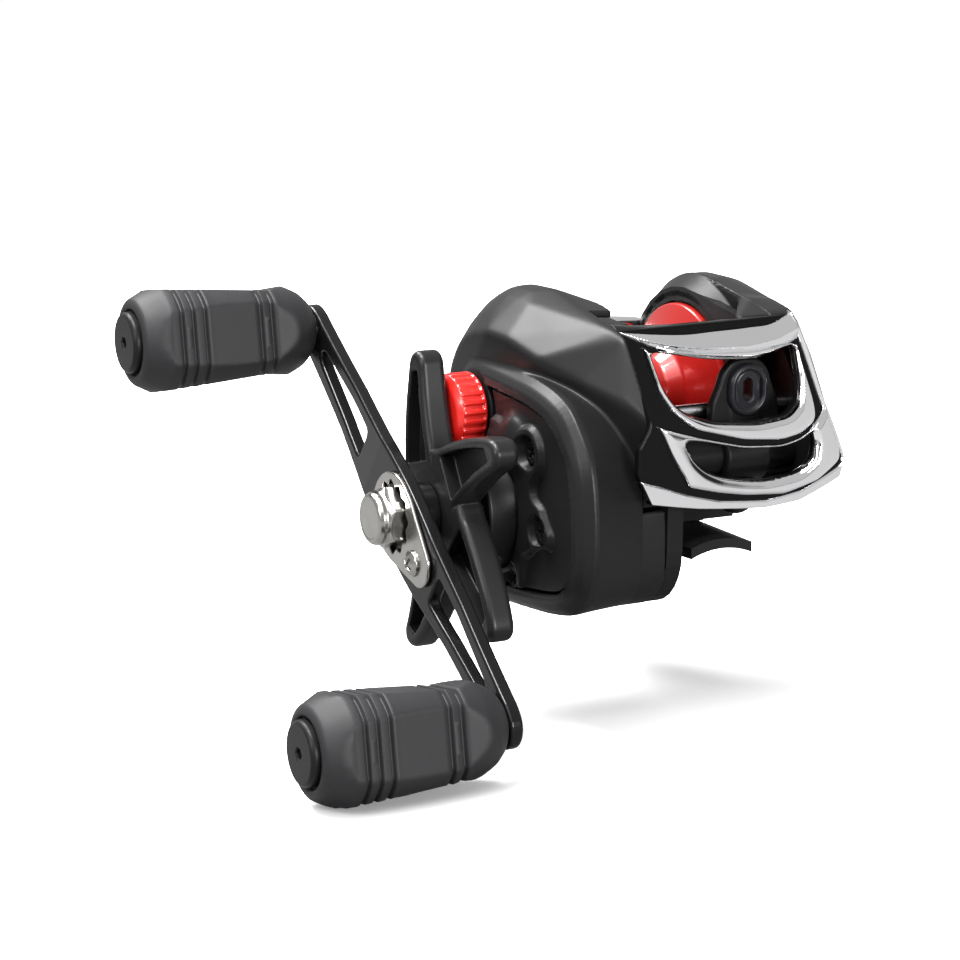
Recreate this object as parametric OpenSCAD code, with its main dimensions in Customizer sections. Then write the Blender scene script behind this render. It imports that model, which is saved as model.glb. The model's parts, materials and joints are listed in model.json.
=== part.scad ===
// Low-profile baitcasting reel, in millimetres.
// +X runs along the spool axis to the palm side, -Y is the front where the line leaves, +Z is up.
// The origin is the centre of the seat under the reel foot, in the spool's middle plane.

/* [Foot] */
// Length of the reel foot along the rod
foot_length = 62; // [58:0.5:66]
// Width of the foot at its two tips
foot_tip_w = 12.4; // [11:0.2:14]
// Width of the foot at its middle
foot_mid_w = 19; // [16:0.5:21]
// Thickness of the foot plate
foot_t = 1.8; // [1.6:0.1:2.2]
// Radius of the hollow under the foot, which sits on the rod's reel seat
seat_r = 15; // [13:0.5:18]

/* [Spool] */
// Room for line between the spool's flanges
spool_gap = 20; // [17:0.5:21]
// Radius of the spool's flanges
flange_r = 16.2; // [15.5:0.1:16.6]
// Thickness of each flange at its rim
flange_t = 1.6; // [1.2:0.1:1.8]
// Radius of the spool's core
arbor_r = 6; // [5.5:0.1:7]
// Radius of the spool shaft
spool_shaft_r = 1.5; // [1.3:0.05:1.6]

/* [Gears] */
// Module of the drive gear and the pinion
drive_module = 0.6; // [0.58:0.005:0.61]
// Teeth on the drive gear
drive_teeth = 51; // [50:1:52]
// Teeth on the pinion
pinion_teeth = 8; // [8:1:9]
// Module of the level-wind gears
wind_module = 0.5; // [0.48:0.01:0.5]
// Teeth on the level-wind gear of the main shaft
wind_drive_teeth = 28; // [26:2:28]
// Teeth on the idler gear (an even number)
idler_teeth = 24; // [22:2:24]
// Teeth on the worm's gear
worm_teeth = 20; // [18:1:20]
// Face width of the drive gear
drive_gear_w = 5; // [4.5:0.1:5.2]
// Face width of the level-wind gears
wind_gear_w = 1.8; // [1.5:0.1:1.9]

/* [Handle] */
// Distance between the two knob axes
handle_length = 95; // [92:1:105]
// Turn of the handle away from upright, towards the angler
handle_turn = 54.35; // [40:0.05:60]
// Thickness of the crank plate
crank_t = 2.5; // [2.2:0.1:2.8]
// Radius of the main shaft
main_shaft_r = 3; // [2.8:0.05:3.1]
// Length of each knob without its cap
knob_length = 34.5; // [31:0.5:36]
// Largest radius of a knob
knob_r = 10.2; // [9:0.1:10.6]
// Radius of the knob posts
post_r = 2; // [1.8:0.1:2.2]
// Reach of the star drag's arms from the main shaft
star_reach = 28.6; // [26:0.2:29.5]
// Arms on the star drag
star_arms = 5; // [4:1:6]

/* [Casing] */
// Wall of the plastic covers
wall = 1.4; // [1.2:0.1:1.6]
// Thickness of the frame's side walls
frame_wall = 2; // [1.8:0.1:2.4]
// Half the width of the front shield
shield_half = 18.5; // [18:0.1:19.5]
// Thickness of the front shield
shield_t = 1.5; // [1.3:0.1:1.8]
// How far the shield bulges forward at its middle
shield_bulge = 4; // [2:0.2:5]
// How far the metal trim stands proud of the shield
trim_t = 0.8; // [0.5:0.1:1.2]
// Outer radius of the boss round the main shaft
boss_r = 11.6; // [11:0.1:12]
// Radius of the cast-control knob
control_r = 6.9; // [6.5:0.1:7.3]
// Length of the cast-control knob
control_length = 5.4; // [4.8:0.1:5.7]

/* [Line guide] */
// Where the line guide stands, to the palm side of the middle
guide_x = 5.2; // [0:0.2:5.6]
// Radius of the tube round the worm
guard_r = 3.4; // [3.2:0.1:3.6]
// Radius of the worm
worm_r = 2.4; // [2.2:0.1:2.5]
// Radius of the upper guide rod
rod_r = 1.1; // [0.9:0.1:1.3]

/* [Fits] */
// Radial clearance of a shaft that turns or slides in its bore
run_fit = 0.05; // [0.02:0.01:0.1]
// Smallest gap between parts that move past each other
gap = 0.4; // [0.3:0.05:0.5]

/* [Hidden] */

$fn = 64;
hull_fn = 28;
eps = 0.01;
full = 360;

// ---- axes of the drive, as (y, z) ----
main_y = -4.8;
main_z = 7.1;
pinion_lean = 23;
gear_distance = drive_module * (drive_teeth + pinion_teeth) / 2;
spool_y = main_y + gear_distance * sin(pinion_lean);
spool_z = main_z + gear_distance * cos(pinion_lean);
wind_rise = 25;
idler_distance = wind_module * (wind_drive_teeth + idler_teeth) / 2;
worm_distance = idler_distance + wind_module * (idler_teeth + worm_teeth) / 2;
idler_y = main_y - idler_distance * cos(wind_rise);
idler_z = main_z + idler_distance * sin(wind_rise);
worm_y = main_y - worm_distance * cos(wind_rise);
worm_z = main_z + worm_distance * sin(wind_rise);

// ---- stations along X, measured from the middle plane ----
bay_half = 15.8;
spool_end = spool_gap / 2 + flange_t;
ring_in = spool_gap / 2 + 1;
wall_in = spool_end + 0.5;
wall_out = wall_in + frame_wall;

// Stations outward from the handle-side wall, as negative X
function out(d) = -(wall_out + d);
ratchet_in = 1;
ratchet_t = 1.2;
wind_in = bay_half + frame_wall - wall_out + gap;
wind_out = wind_in + wind_gear_w;
drive_in = wind_out + gap;
drive_out = drive_in + drive_gear_w;
drive_web = 1.4;
disc_t = 0.9;
washer_t = 0.8;
stack_in = drive_in + drive_web;
washer_in = stack_in + disc_t;
washer_out = washer_in + washer_t;
stack_out = washer_out + disc_t;
plate_out = stack_out + 2.4;
cover_out = 18.1;
rim_out = cover_out + 0.7;
cover_in = cover_out - wall;
boss_out = cover_out + 6;
sleeve_out = boss_out + gap;
springs_out = sleeve_out + 1.4;
star_in = boss_out + 0.6;
star_out = star_in + 5.4;
arms_in = star_in + 0.4;
arms_out = star_out - 1.4;
crank_dish = 0.6;
crank_standoff = 4.4;
crank_in = star_out + crank_standoff;
crank_out = crank_in + crank_t;
retainer_t = 0.8;
nut_length = 5.2;
nut_out = crank_out + nut_length;
arm_in = crank_in - crank_dish;
arm_out = arm_in + crank_t;
knob_in = arm_out + 0.5;
knob_out = knob_in + knob_length;
cap_out = knob_out + 1.3;
post_out = knob_out - 2;

// ---- drive pieces ----
pressure_angle = 25;
backlash = 0.14;
drive_pitch_r = drive_module * drive_teeth / 2;
drive_tip_r = drive_pitch_r + 0.7 * drive_module;
pinion_pitch_r = drive_module * pinion_teeth / 2;
pinion_tip_r = pinion_pitch_r + 0.85 * drive_module;
shaft_bearing_r = 5;
shaft_journal_r = 2.5;
shaft_end = -1.4;
// The lower edges of the foot's tips are at z = 0
seat_crown = seat_r - sqrt(seat_r * seat_r - pow(foot_tip_w / 2, 2));
seat_sink = seat_crown - seat_r;
foot_top = seat_crown + foot_t;
deck_top = foot_top + 2.2;
sleeve_r = main_shaft_r + 1.1;
clutch_bearing_r = 7.4;
clutch_bearing_in = cover_out - 4.6;
clutch_bearing_out = boss_out - 1.4;
pinion_stub_r = spool_shaft_r + 0.6;
dog_end = -0.9;
dog_out = 1.2;
neck_out = 2.9;
teeth_in = 3.5;
teeth_out = 12.1;
seat_out = 16.2;
pinion_bearing_t = 2;
stub_out = 16;
pinion_hub_r = 3.2;
neck_r = pinion_stub_r;
clutch_travel = 1.8;
bar_travel = 4;
yoke_t = 1;
yoke_in = dog_out + (neck_out - dog_out - yoke_t) / 2;
yoke_reach = 8.5;
yoke_post_r = 1;
shaft_tip = boss_out - 3;

// ---- casing outlines, as circles [y, z, r] whose hull is the outline ----
gearbox_circles = [[main_y + 2.6, main_z + 0.2, 17.8], [-25, 3, 12.4], [-23.2, 12, 14.4],
    [spool_y, spool_z, 9.6]];
dome_circles = [[spool_y, spool_z, 21.6], [-22.6, 38.6, 4.6], [-38, 25.6, 3], [-32, 13, 5.4]];
dome_start_circles = [[spool_y, spool_z, 18], [spool_y + 16, spool_z + 7.6, 5], [-22.6, 38.6, 1],
    [-36, 25.6, 1], [-31, 14, 3]];
palm_circles = [[spool_y, spool_z, 21.6], [-21.8, 38.2, 3.4], [-37.2, 17, 3.4], [-30, 11, 4],
    [15, 17, 10]];
palm_end_circles = [[spool_y, spool_z, 21.6], [-11, 21, 15], [14, 18, 11]];
cover_rim = wall_out - 0.7;
gearbox_shoulder = 15.2;
gearbox_taper = 3;
dome_shoulder = 10;
dome_out = 16.4;
palm_out = wall_out + 15.5;
palm_in = palm_out - wall;
step = 0.3;
function gearbox_pod(end, start) = [[-start, -start - step, gearbox_circles, 0],
    [out(gearbox_shoulder - 1), out(gearbox_shoulder), gearbox_circles, 0],
    [out(end - 0.8), out(end - 0.8 + step), gearbox_circles, gearbox_taper * 0.45],
    [out(end - step), out(end), gearbox_circles, gearbox_taper]];
function dome_pod(end, start) = [[-start, -start - step, dome_start_circles, 0],
    [out(4.6), out(dome_shoulder - 1), dome_circles, 0],
    [out(dome_out - 2.2), out(dome_out - 2.2 + step), dome_circles, 3.7],
    [out(end - step), out(end), dome_circles, 8]];
function palm_pod(end, start) = [[start, start + step, palm_circles, 2],
    [wall_out + 1, shield_half + 0.3, palm_circles, 0],
    [wall_out + 9, wall_out + 10, palm_end_circles, 2.2],
    [end - step, end, palm_end_circles, 7.4]];

// ---- front shield, by its outer face's y at each height z ----
shield_top = 40.4;
shield_bottom = 12.6;
shield_low = 10.6;
shield_profile = [[10, -37.6], [12.6, -38.6], [18, -41], [26, -40.2], [33, -33], [40.4, -25.4],
    [43, -23]];
palm_profile = [[10, -37.6], [12.6, -38.9], [17.7, -40.7], [22.9, -36.9], [28.1, -32.9], [35, -28.4],
    [40.4, -24.6], [43, -22.4]];

// ---- crank and knobs ----
arm_half = handle_length / 2;
arm_end_r = 3.9;
hub_half_w = 7.4;

// A 2-D outline in (y, z), pushed along X from x0 to x1
module x_prism(x0, x1) {
    translate([min(x0, x1), 0, 0]) rotate([90, 0, 90]) linear_extrude(abs(x1 - x0)) children();
}

// A round bar along X
module x_bar(x0, x1, r, y, z) {
    translate([min(x0, x1), y, z]) rotate([0, 90, 0]) cylinder(h = abs(x1 - x0), r = r);
}

// A tube along X
module x_tube(x0, x1, r_out, r_in, y, z) {
    difference() {
        x_bar(x0, x1, r_out, y, z);
        x_bar(min(x0, x1) - 1, max(x0, x1) + 1, r_in, y, z);
    }
}

// Circles [y, z, r], each made smaller by inset
module dots(circles, inset) {
    for (c = circles) translate([c[0], c[1]]) circle(max(c[2] - inset, 0.2), $fn = hull_fn);
}

// The hull of a list of circles
module outline(circles, inset = 0) {
    hull() dots(circles, inset);
}

// A casing form through sections, each [x from, x to, circles, how much smaller]
module pod(sections, inset) {
    hull() for (c = sections) x_prism(c[0], c[1]) dots(c[2], inset + c[3]);
}

// ---- involute gears ----
function involute(a) = tan(a) - a * PI / 180;
function half_angle(r, pitch_r, n) =
    let (base_r = pitch_r * cos(pressure_angle), a = r > base_r ? acos(base_r / r) : 0)
    (PI / (2 * n) - backlash / (4 * pitch_r) + involute(pressure_angle) - involute(a)) * 180 / PI;

// A gear outline with a tooth centred on the angle phase
module gear_outline(n, pitch_r, add, ded, phase) {
    tip_r = pitch_r + add;
    low_r = max(pitch_r * cos(pressure_angle), pitch_r - ded * 0.85);
    radii = [pitch_r - ded, low_r, pitch_r, (pitch_r + tip_r) / 2, tip_r];
    polygon([for (i = [0 : n - 1], side = [-1, 1], k = [0 : 4])
        let (r = radii[side < 0 ? k : 4 - k], a = phase + i * full / n
            + side * half_angle(r, pitch_r, n))
        [r * cos(a), r * sin(a)]]);
}

module gear(x0, x1, n, module_size, add, phase, y, z, bore_r) {
    difference() {
        translate([0, y, z]) x_prism(x0, x1)
            gear_outline(n, module_size * n / 2, add * module_size, 1.25 * module_size, phase);
        x_bar(min(x0, x1) - 1, max(x0, x1) + 1, bore_r, y, z);
    }
}

// ---- shield surface ----
function bulge(x, z) = shield_bulge * (1 - pow(x / shield_half, 2))
    * max(0, min(1, (shield_top - z) / (shield_top - 22)));
function palm_mix(x) = x < 4 ? 0 : pow((x - 4) / (shield_half - 4), 1.5);
function shield_y(x, z) = lookup(z, shield_profile) * (1 - palm_mix(x))
    + lookup(z, palm_profile) * palm_mix(x) - bulge(x, z);

// A closed sheet that follows the shield's face, from depth t0 to t1 behind it
module shield_sheet(t0, t1) {
    half = shield_half;
    z0 = shield_low;
    z1 = shield_top;
    nx = 12;
    nz = 10;
    w = nz + 1;
    sheet = (nx + 1) * w;
    points = [for (t = [t0, t1], i = [0 : nx], j = [0 : nz])
        let (x = -half + 2 * half * i / nx, z = z0 + (z1 - z0) * j / nz)
        [x, shield_y(x, z) + t, z]];
    front = [for (i = [0 : nx - 1], j = [0 : nz - 1])
        let (a = i * w + j) each [[a, a + 1, a + w + 1], [a, a + w + 1, a + w]]];
    back = [for (f = front) [f[0] + sheet, f[2] + sheet, f[1] + sheet]];
    side_rows = [for (i = [0, nx], j = [0 : nz - 1]) let (a = i * w + j, b = a + 1)
        each i == 0 ? [[a, a + sheet, b + sheet], [a, b + sheet, b]]
                    : [[a, b + sheet, a + sheet], [a, b, b + sheet]]];
    side_cols = [for (j = [0, nz], i = [0 : nx - 1]) let (a = i * w + j, b = a + w)
        each j == 0 ? [[a, b + sheet, a + sheet], [a, b, b + sheet]]
                    : [[a, a + sheet, b + sheet], [a, b + sheet, b]]];
    polyhedron(points, concat(front, back, side_rows, side_cols));
}

// A 2-D outline in (x, z), pushed through the shield along Y
module through_shield() {
    translate([0, -20, 0]) rotate([90, 0, 0]) linear_extrude(32) children();
}

// The upper opening: wide, with round lower corners
upper_window = [[-14.2, 37.2], [-15.2, 31], [-13.6, 28.2], [-9.6, 26.7], [-1, 26], [6, 26.6],
    [10.8, 28], [13.8, 31.5], [15.8, 36.2], [12.8, 36], [9.3, 35.5], [5, 35.1], [-3.6, 35.6],
    [-8.6, 36.5]];
lower_window = [[-14.8, 23.9], [-13.3, 20.6], [-11.5, 18.8], [-8.8, 17.4], [-4.4, 16.5], [0.5, 16],
    [7.4, 16.7], [10.9, 19.4], [11.9, 23.4], [7.8, 22.5], [2.9, 21.9], [-4.5, 22.3], [-11.8, 23.8]];

// ================= root body: frame and casing =================

// The frame's handle-side wall follows the cover's inside
module wall_outline(grow = 0) {
    difference() {
        union() {
            outline(gearbox_circles, wall + 0.1 - grow);
            outline(dome_circles, 4 - grow);
        }
        translate([-60, main_z + 4]) square([60 - 16.4, 60]);
    }
}

// Part of a bay wall between two places along Y; it stays behind the shield
module bay_wall(side, y0, y1, z0) {
    intersection() {
        outline(side < 0 ? dome_circles : palm_circles, wall + (side < 0 ? 2.2 : 1.5));
        translate([y0, z0]) square([y1 - y0, 60]);
    }
}

module frame() {
    bay_y = -16.4;
    bay_z = main_z + 4;
    bay_out = bay_half + frame_wall;
    color("dimgray") difference() {
        union() {
            // side walls round the spool
            x_prism(-wall_out, -ring_in) wall_outline();
            x_prism(ring_in, wall_out - 1.1) intersection() {
                outline(palm_circles, 2.4);
                translate([bay_y - 1, 0]) square(80);
            }
            // cross-plate that carries the foot
            translate([-ring_in - 1, -15, foot_top]) cube([2 * ring_in + 2, 33, deck_top - foot_top]);
            // side walls of the line guide's bay
            for (s = [-1, 1]) x_prism(s * bay_half, s * bay_out) bay_wall(s, bay_y - 60, bay_y + 1.6, bay_z);
            // steps between the bay and the spool
            for (s = [-1, 1]) x_prism(s * (ring_in + 0.2), s * bay_out)
                bay_wall(s, bay_y - 0.2, bay_y + 1.6, bay_z);
            // floor of the bay
            translate([-bay_out, -34, bay_z]) cube([2 * bay_out, 34 + bay_y + 1.4, 1.6]);
            // web from the floor down to the cross-plate
            translate([-ring_in, bay_y - 0.4, foot_top]) cube([2 * ring_in, 1.8, bay_z - foot_top]);
            // boss for the idler's pin
            x_bar(-wall_out, out(wind_in - 0.5), 2.6, idler_y, idler_z);
        }
        // room for the spool, which comes out through the palm side
        x_bar(-wall_in, wall_out + 1, flange_r + gap, spool_y, spool_z);
        rest_room();
        // pinion, main-shaft bearing and clutch bar
        x_bar(-wall_out - 1, 0, pinion_hub_r + gap, spool_y, spool_z);
        x_bar(-wall_out - 1, 0, shaft_bearing_r, main_y, main_z);
        for (s = [-1, 1]) translate([s * (wall_out - 2) - 4, bar_y - gap, bar_z - bar_travel - gap])
            cube([8, bar_w + 2 * gap, bar_t + bar_travel + 2 * gap]);
        // worm guard and the guide rod
        x_bar(-bay_out - 1, bay_out + 1, guard_r, worm_y, worm_z);
        x_bar(-bay_out - 1, bay_out + 1, rod_r, rod_y, rod_z);
        // slot in the floor for the pawl's cap
        translate([guide_x - guide_left - 5, worm_y - 4.6, worm_z - guard_r - 8.2])
            cube([guide_left + guide_right + 10, 9.2, 8.6]);
        // idler's pin, yoke's posts, foot's rivets
        x_bar(out(wind_in), out(pin_in), 1.2, idler_y, idler_z);
        for (s = [-1, 1]) x_bar(-wall_out - 1, out(-1.6), yoke_post_r, post_y(s), post_z(s));
        for (y = rivet_rows) translate([0, y, 0]) cylinder(h = 12, r = rivet_r);
    }
}

bar_y = spool_y + 16;
bar_z = spool_z + 8.4;
bar_w = 4;
bar_t = 3.4;
tab_w = 1.2;
tab_t = 1.4;
pin_in = 0.6;
rivet_r = 1.3;
rod_y = -25.4;
rod_z = worm_z + 8.2;
guide_left = 13.6;
guide_right = 3.2;
rivet_rows = [-9, 9];
function post_y(s) = spool_y + 2.6 * sin(pinion_lean) + s * yoke_reach * cos(pinion_lean);
function post_z(s) = spool_z + 2.6 * cos(pinion_lean) - s * yoke_reach * sin(pinion_lean);

// The foot is a curved plate: its hollow underside sits on the rod's reel seat
module reel_foot() {
    color("black") difference() {
        union() {
            intersection() {
                difference() {
                    translate([0, foot_length / 2, seat_sink]) rotate([90, 0, 0])
                        cylinder(h = foot_length, r = seat_r + foot_t);
                    translate([0, foot_length / 2 + 1, seat_sink]) rotate([90, 0, 0])
                        cylinder(h = foot_length + 2, r = seat_r);
                }
                translate([0, 0, -12]) linear_extrude(30) foot_plan();
            }
            // pad under the frame's cross-plate
            translate([-6.5, -14, foot_top - 0.9]) cube([13, 28, 0.9]);
        }
        for (y = rivet_rows) translate([0, y, -5]) cylinder(h = 12, r = rivet_r);
    }
}

module foot_plan() {
    polygon([for (s = [1, -1]) each [for (p = s > 0 ? foot_half : [for (i = [5 : -1 : 0]) foot_half[i]])
        [s * p[0], p[1]]]]);
}
foot_half = [[foot_tip_w / 2, -foot_length / 2], [foot_tip_w / 2 + 0.5, -20], [foot_mid_w / 2, -10],
    [foot_mid_w / 2, 10], [foot_tip_w / 2 + 0.5, 20], [foot_tip_w / 2, foot_length / 2]];

module foot_rivets() {
    color("silver") for (y = rivet_rows) translate([0, y, seat_crown + 0.4]) {
        cylinder(h = deck_top - seat_crown - 0.4, r = rivet_r);
        translate([0, 0, deck_top - seat_crown - 0.4]) cylinder(h = 0.7, r1 = 2.3, r2 = 1.6);
    }
}

// Handle-side cover: a gearbox pod and a domed pod over the spool's end
module handle_side_cover() {
    color("darkslategray") difference() {
        union() {
            pod(gearbox_pod(rim_out, cover_rim), 0);
            pod(dome_pod(dome_out, wall_out), 0);
        }
        pod(gearbox_pod(cover_in, cover_rim - 0.5), wall);
        pod(dome_pod(dome_out - wall, wall_out - 0.5), wall);
        x_prism(-cover_rim + 0.5, -wall_out) wall_outline(0.08);
        x_prism(out(dome_out - 4), out(rim_out + 1)) plate_outline(0);
        x_bar(out(cover_out), out(rim_out + 1), control_r + gap, spool_y, spool_z);
        shield_room();
    }
}

// Outline of the bearing plate, which closes the cover's end
module plate_outline(inset) {
    hull() {
        translate([-18.6, 10.4]) circle(15.4 - inset);
        translate([main_y, main_z]) circle(13.4 - inset);
        translate([spool_y, spool_z]) circle(6.6 - inset);
    }
}

// Room that the covers leave for the front shield and the thumb rest
module shield_room() {
    half = shield_half + 0.05;
    translate([-half, -60, 10.4]) cube([2 * half, 60 - 15.8, 50]);
}

// Bearing plate: carries the outer ends of the main shaft, the pinion and the spool shaft
module bearing_plate() {
    collar_r = control_r - 2.2;
    color("darkslategray") difference() {
        union() {
            x_prism(out(cover_in), out(cover_out)) plate_outline(0.02);
            x_bar(out(cover_out - 0.1), out(boss_out), boss_r, main_y, main_z);
            x_bar(out(clutch_bearing_in), out(cover_out), clutch_bearing_r + 1.5, main_y, main_z);
            x_bar(out(13.6), out(cover_out), 6, spool_y, spool_z);
        }
        x_bar(out(cover_out), out(boss_out + 1), control_r + gap, spool_y, spool_z);
        x_bar(out(clutch_bearing_in - 1), out(clutch_bearing_out), clutch_bearing_r, main_y, main_z);
        x_bar(out(cover_in), out(boss_out + 1), sleeve_r + gap, main_y, main_z);
        x_bar(out(13), out(seat_out), 4.4, spool_y, spool_z);
        x_bar(out(12), out(cover_out + 1), 3.4, spool_y, spool_z);
        for (p = screw_places) {
            x_bar(out(cover_in - 1), out(cover_out + 1), 1, p[0], p[1]);
            x_bar(out(cover_out - 0.8), out(cover_out + 1), 1.9, p[0], p[1]);
        }
    }
}

// Threaded collar that the cast-control knob screws on
module control_collar() {
    collar_r = control_r - 2.2;
    color("black") difference() {
        union() {
            x_bar(out(cover_out - 1.2), out(cover_out), 3.4, spool_y, spool_z);
            x_bar(out(cover_out), out(cover_out + 2.8), collar_r, spool_y, spool_z);
        }
        x_bar(out(cover_out - 2), out(cover_out + 0.1), pinion_stub_r + gap, spool_y, spool_z);
        x_bar(out(cover_out), out(cover_out + 2.4), 3.4, spool_y, spool_z);
        x_bar(out(cover_out), out(cover_out + 4), spool_shaft_r + gap, spool_y, spool_z);
    }
}
screw_places = [[-20.2, 19.7], [-23.2, 6.3], [-18.6, -1.8]];

module cover_screws() {
    color("gray") for (p = screw_places) {
        x_bar(out(cover_in - 1.4), out(cover_out - 0.8), 1, p[0], p[1]);
        difference() {
            x_bar(out(cover_out - 0.8), out(cover_out + 0.2), 1.9, p[0], p[1]);
            for (turn = [0, 90]) translate([out(cover_out + 0.2), p[0], p[1]]) rotate([turn, 0, 0])
                cube([1, 0.5, 2.2], center = true);
        }
    }
}

// Palm-side cover: a rounded shell over the brake
module palm_side_cover() {
    color("darkslategray") difference() {
        union() {
            difference() {
                pod(palm_pod(palm_out, wall_out - 1), 0);
                pod(palm_pod(palm_in, wall_out - 2), wall);
            }
            x_bar(palm_in - 4, palm_in + 0.4, 4.4, spool_y, spool_z);
        }
        x_bar(palm_in - 5, palm_out + 1, dial_stem_r + run_fit, spool_y, spool_z);
        x_bar(palm_out - 1.1, palm_out + 2, dial_r + gap, spool_y, spool_z);
        shield_room();
    }
}
dial_stem_r = 2.2;
dial_r = 8;

module brake_plate() {
    color("gray") difference() {
        union() {
            x_bar(wall_in + 0.1, wall_in + 1.3, flange_r + gap, spool_y, spool_z);
            x_bar(wall_in + 1.2, wall_out + 5, 5, spool_y, spool_z);
        }
        x_bar(wall_in - 1, wall_out + 1, 2.4, spool_y, spool_z);
        x_bar(wall_out + 0.6, wall_out + 3.6, 4, spool_y, spool_z);
    }
}

// Bridge over the line guide, where the thumb rests, in front of the spool
module thumb_rest() {
    color("dimgray") difference() {
        x_prism(-shield_half, shield_half) polygon(rest_outline);
        x_bar(-shield_half - 1, shield_half + 1, flange_r + gap, spool_y, spool_z);
    }
}

rest_outline = [[-22.8, 39.6], [-22.8, 41.8], [-20.6, 41.6], [-17.6, 39.4], [-15.8, 36.8],
    [-16.8, 36.2], [-19.6, 38.6]];

module rest_room() {
    x_prism(-shield_half, shield_half) polygon(rest_outline);
}

module front_shield() {
    color("black") difference() {
        shield_sheet(0, shield_t);
        through_shield() polygon(upper_window);
        through_shield() polygon(lower_window);
        translate([-30, -60, 0]) cube([60, 60, shield_bottom]);
    }
}

// A trim is a band that lies on the shield's face, round or along a window
module trim_band() {
    intersection() {
        shield_sheet(-trim_t, 0);
        through_shield() children();
    }
}

module upper_trim() {
    color("silver") trim_band() difference() {
        polygon([[-18.4, 40.4], [-16.4, 38.6], [-16.1, 33.8], [-15.7, 28.4], [-12.2, 26.1],
            [-4.2, 24.4], [3, 23.7], [8.1, 24], [13, 25.1], [17, 26.6], [18.4, 29], [18.4, 40.4]]);
        polygon(upper_window);
    }
}

module lower_trim() {
    color("silver") trim_band() difference() {
        polygon([[-18.4, 26.4], [-16.7, 21.2], [-13.7, 15.8], [-8.8, 14.6], [-3.2, 13.7], [4.8, 13.2],
            [12.1, 14.7], [17.3, 17.9], [18.2, 20], [18.2, 28], [17, 26.4], [13, 24.9], [8.1, 23.8],
            [3, 23.5], [-4.2, 24.2], [-12.2, 25.9], [-15.5, 28]]);
        polygon(lower_window);
    }
}

module bottom_trim() {
    color("silver") intersection() {
        shield_sheet(-trim_t, shield_t);
        translate([-30, -60, 0]) cube([60, 60, shield_bottom]);
    }
}

module one_way_bearing() {
    color("gray") x_tube(out(clutch_bearing_in), out(clutch_bearing_out), clutch_bearing_r,
        sleeve_r + run_fit, main_y, main_z);
}

module main_shaft_bearing() {
    color("silver") x_tube(out(0), out(shaft_end - 0.6), shaft_bearing_r, shaft_journal_r + run_fit,
        main_y, main_z);
}

module pinion_bearing() {
    color("silver") x_tube(out(seat_out - pinion_bearing_t), out(seat_out), 4.4, pinion_stub_r + run_fit,
        spool_y, spool_z);
}

module spool_bearings() {
    color("silver") {
        x_tube(out(cover_out + 0.1), out(cover_out + 2.4), 3.4, spool_shaft_r + run_fit, spool_y, spool_z);
        x_tube(wall_out + 0.6, wall_out + 3.2, 4, spool_shaft_r + run_fit, spool_y, spool_z);
    }
}

module yoke_posts() {
    color("silver") for (s = [-1, 1]) {
        x_bar(out(-1.6), out(10.6), yoke_post_r, post_y(s), post_z(s));
        x_bar(out(10.6), out(11.2), 2.1, post_y(s), post_z(s));
    }
}

// Each spring is drawn as a closed sleeve, as long as the room it fills
module yoke_springs() {
    color("gray") for (s = [-1, 1])
        x_tube(out(yoke_in + yoke_t), out(10.6), 1.8, yoke_post_r + 0.2, post_y(s), post_z(s));
}

module idler_pin() {
    color("silver") {
        x_bar(out(pin_in), out(wind_out + 0.1), 1.2, idler_y, idler_z);
    }
}

// Tube round the worm, open along its lower side for the pawl
module worm_guard() {
    color("dimgray") difference() {
        x_tube(-bay_half - frame_wall, bay_half + frame_wall, guard_r, worm_r + 0.4, worm_y, worm_z);
        translate([-bay_half + 1, worm_y - 1.2, worm_z - guard_r - 1])
            cube([2 * bay_half - 2, 2.4, guard_r]);
    }
}

module worm_bushes() {
    color("goldenrod") for (s = [-1, 1])
        x_tube(s * (bay_half - 0.2), s * (bay_half + frame_wall), worm_r + 0.4, bush_r + run_fit,
            worm_y, worm_z);
}
bush_r = 1.4;

module guide_rod() {
    color("silver") x_bar(-bay_half - frame_wall, bay_half + frame_wall, rod_r, rod_y, rod_z);
}

// ================= body: handle =================

module main_shaft() {
    color("silver") {
        x_bar(out(shaft_end), out(0.3), shaft_journal_r, main_y, main_z);
        x_bar(out(0.3), out(nut_out - 1), main_shaft_r, main_y, main_z);
    }
}

module level_wind_gear() {
    color("white") gear(out(wind_in), out(wind_out), wind_drive_teeth, wind_module, 0.9,
        180 - wind_rise, main_y, main_z, main_shaft_r);
}

module ratchet_wheel() {
    teeth = 10;
    ratchet_r = 7;
    color("silver") difference() {
        x_prism(out(ratchet_in), out(ratchet_in + ratchet_t)) translate([main_y, main_z]) polygon([
            for (i = [0 : teeth - 1], k = [0, 1]) let (a = i * full / teeth + k * 6,
                r = ratchet_r - k * 1.6) [r * cos(a), r * sin(a)]]);
        x_bar(out(ratchet_in) + 1, out(wind_in), main_shaft_r, main_y, main_z);
    }
}

module drive_gear() {
    recess_r = drive_pitch_r - 3.4;
    color("goldenrod") difference() {
        gear(out(drive_in), out(drive_out), drive_teeth, drive_module, 0.7, 90 - pinion_lean,
            main_y, main_z, main_shaft_r);
        x_bar(out(stack_in), out(drive_out + 1), recess_r, main_y, main_z);
        for (i = [0 : 5]) x_bar(out(drive_in - 1), out(drive_in + 3), 1.5,
            main_y + 9 * cos(i * 60), main_z + 9 * sin(i * 60));
    }
}
disc_r = drive_pitch_r - 3.6;

module drag_discs() {
    color("#222222") {
        x_tube(out(stack_in), out(washer_in), disc_r, main_shaft_r, main_y, main_z);
        x_tube(out(washer_out), out(stack_out), disc_r, main_shaft_r, main_y, main_z);
    }
}

module key_washer() {
    color("silver") x_tube(out(washer_in), out(washer_out), disc_r, main_shaft_r, main_y, main_z);
}

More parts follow.
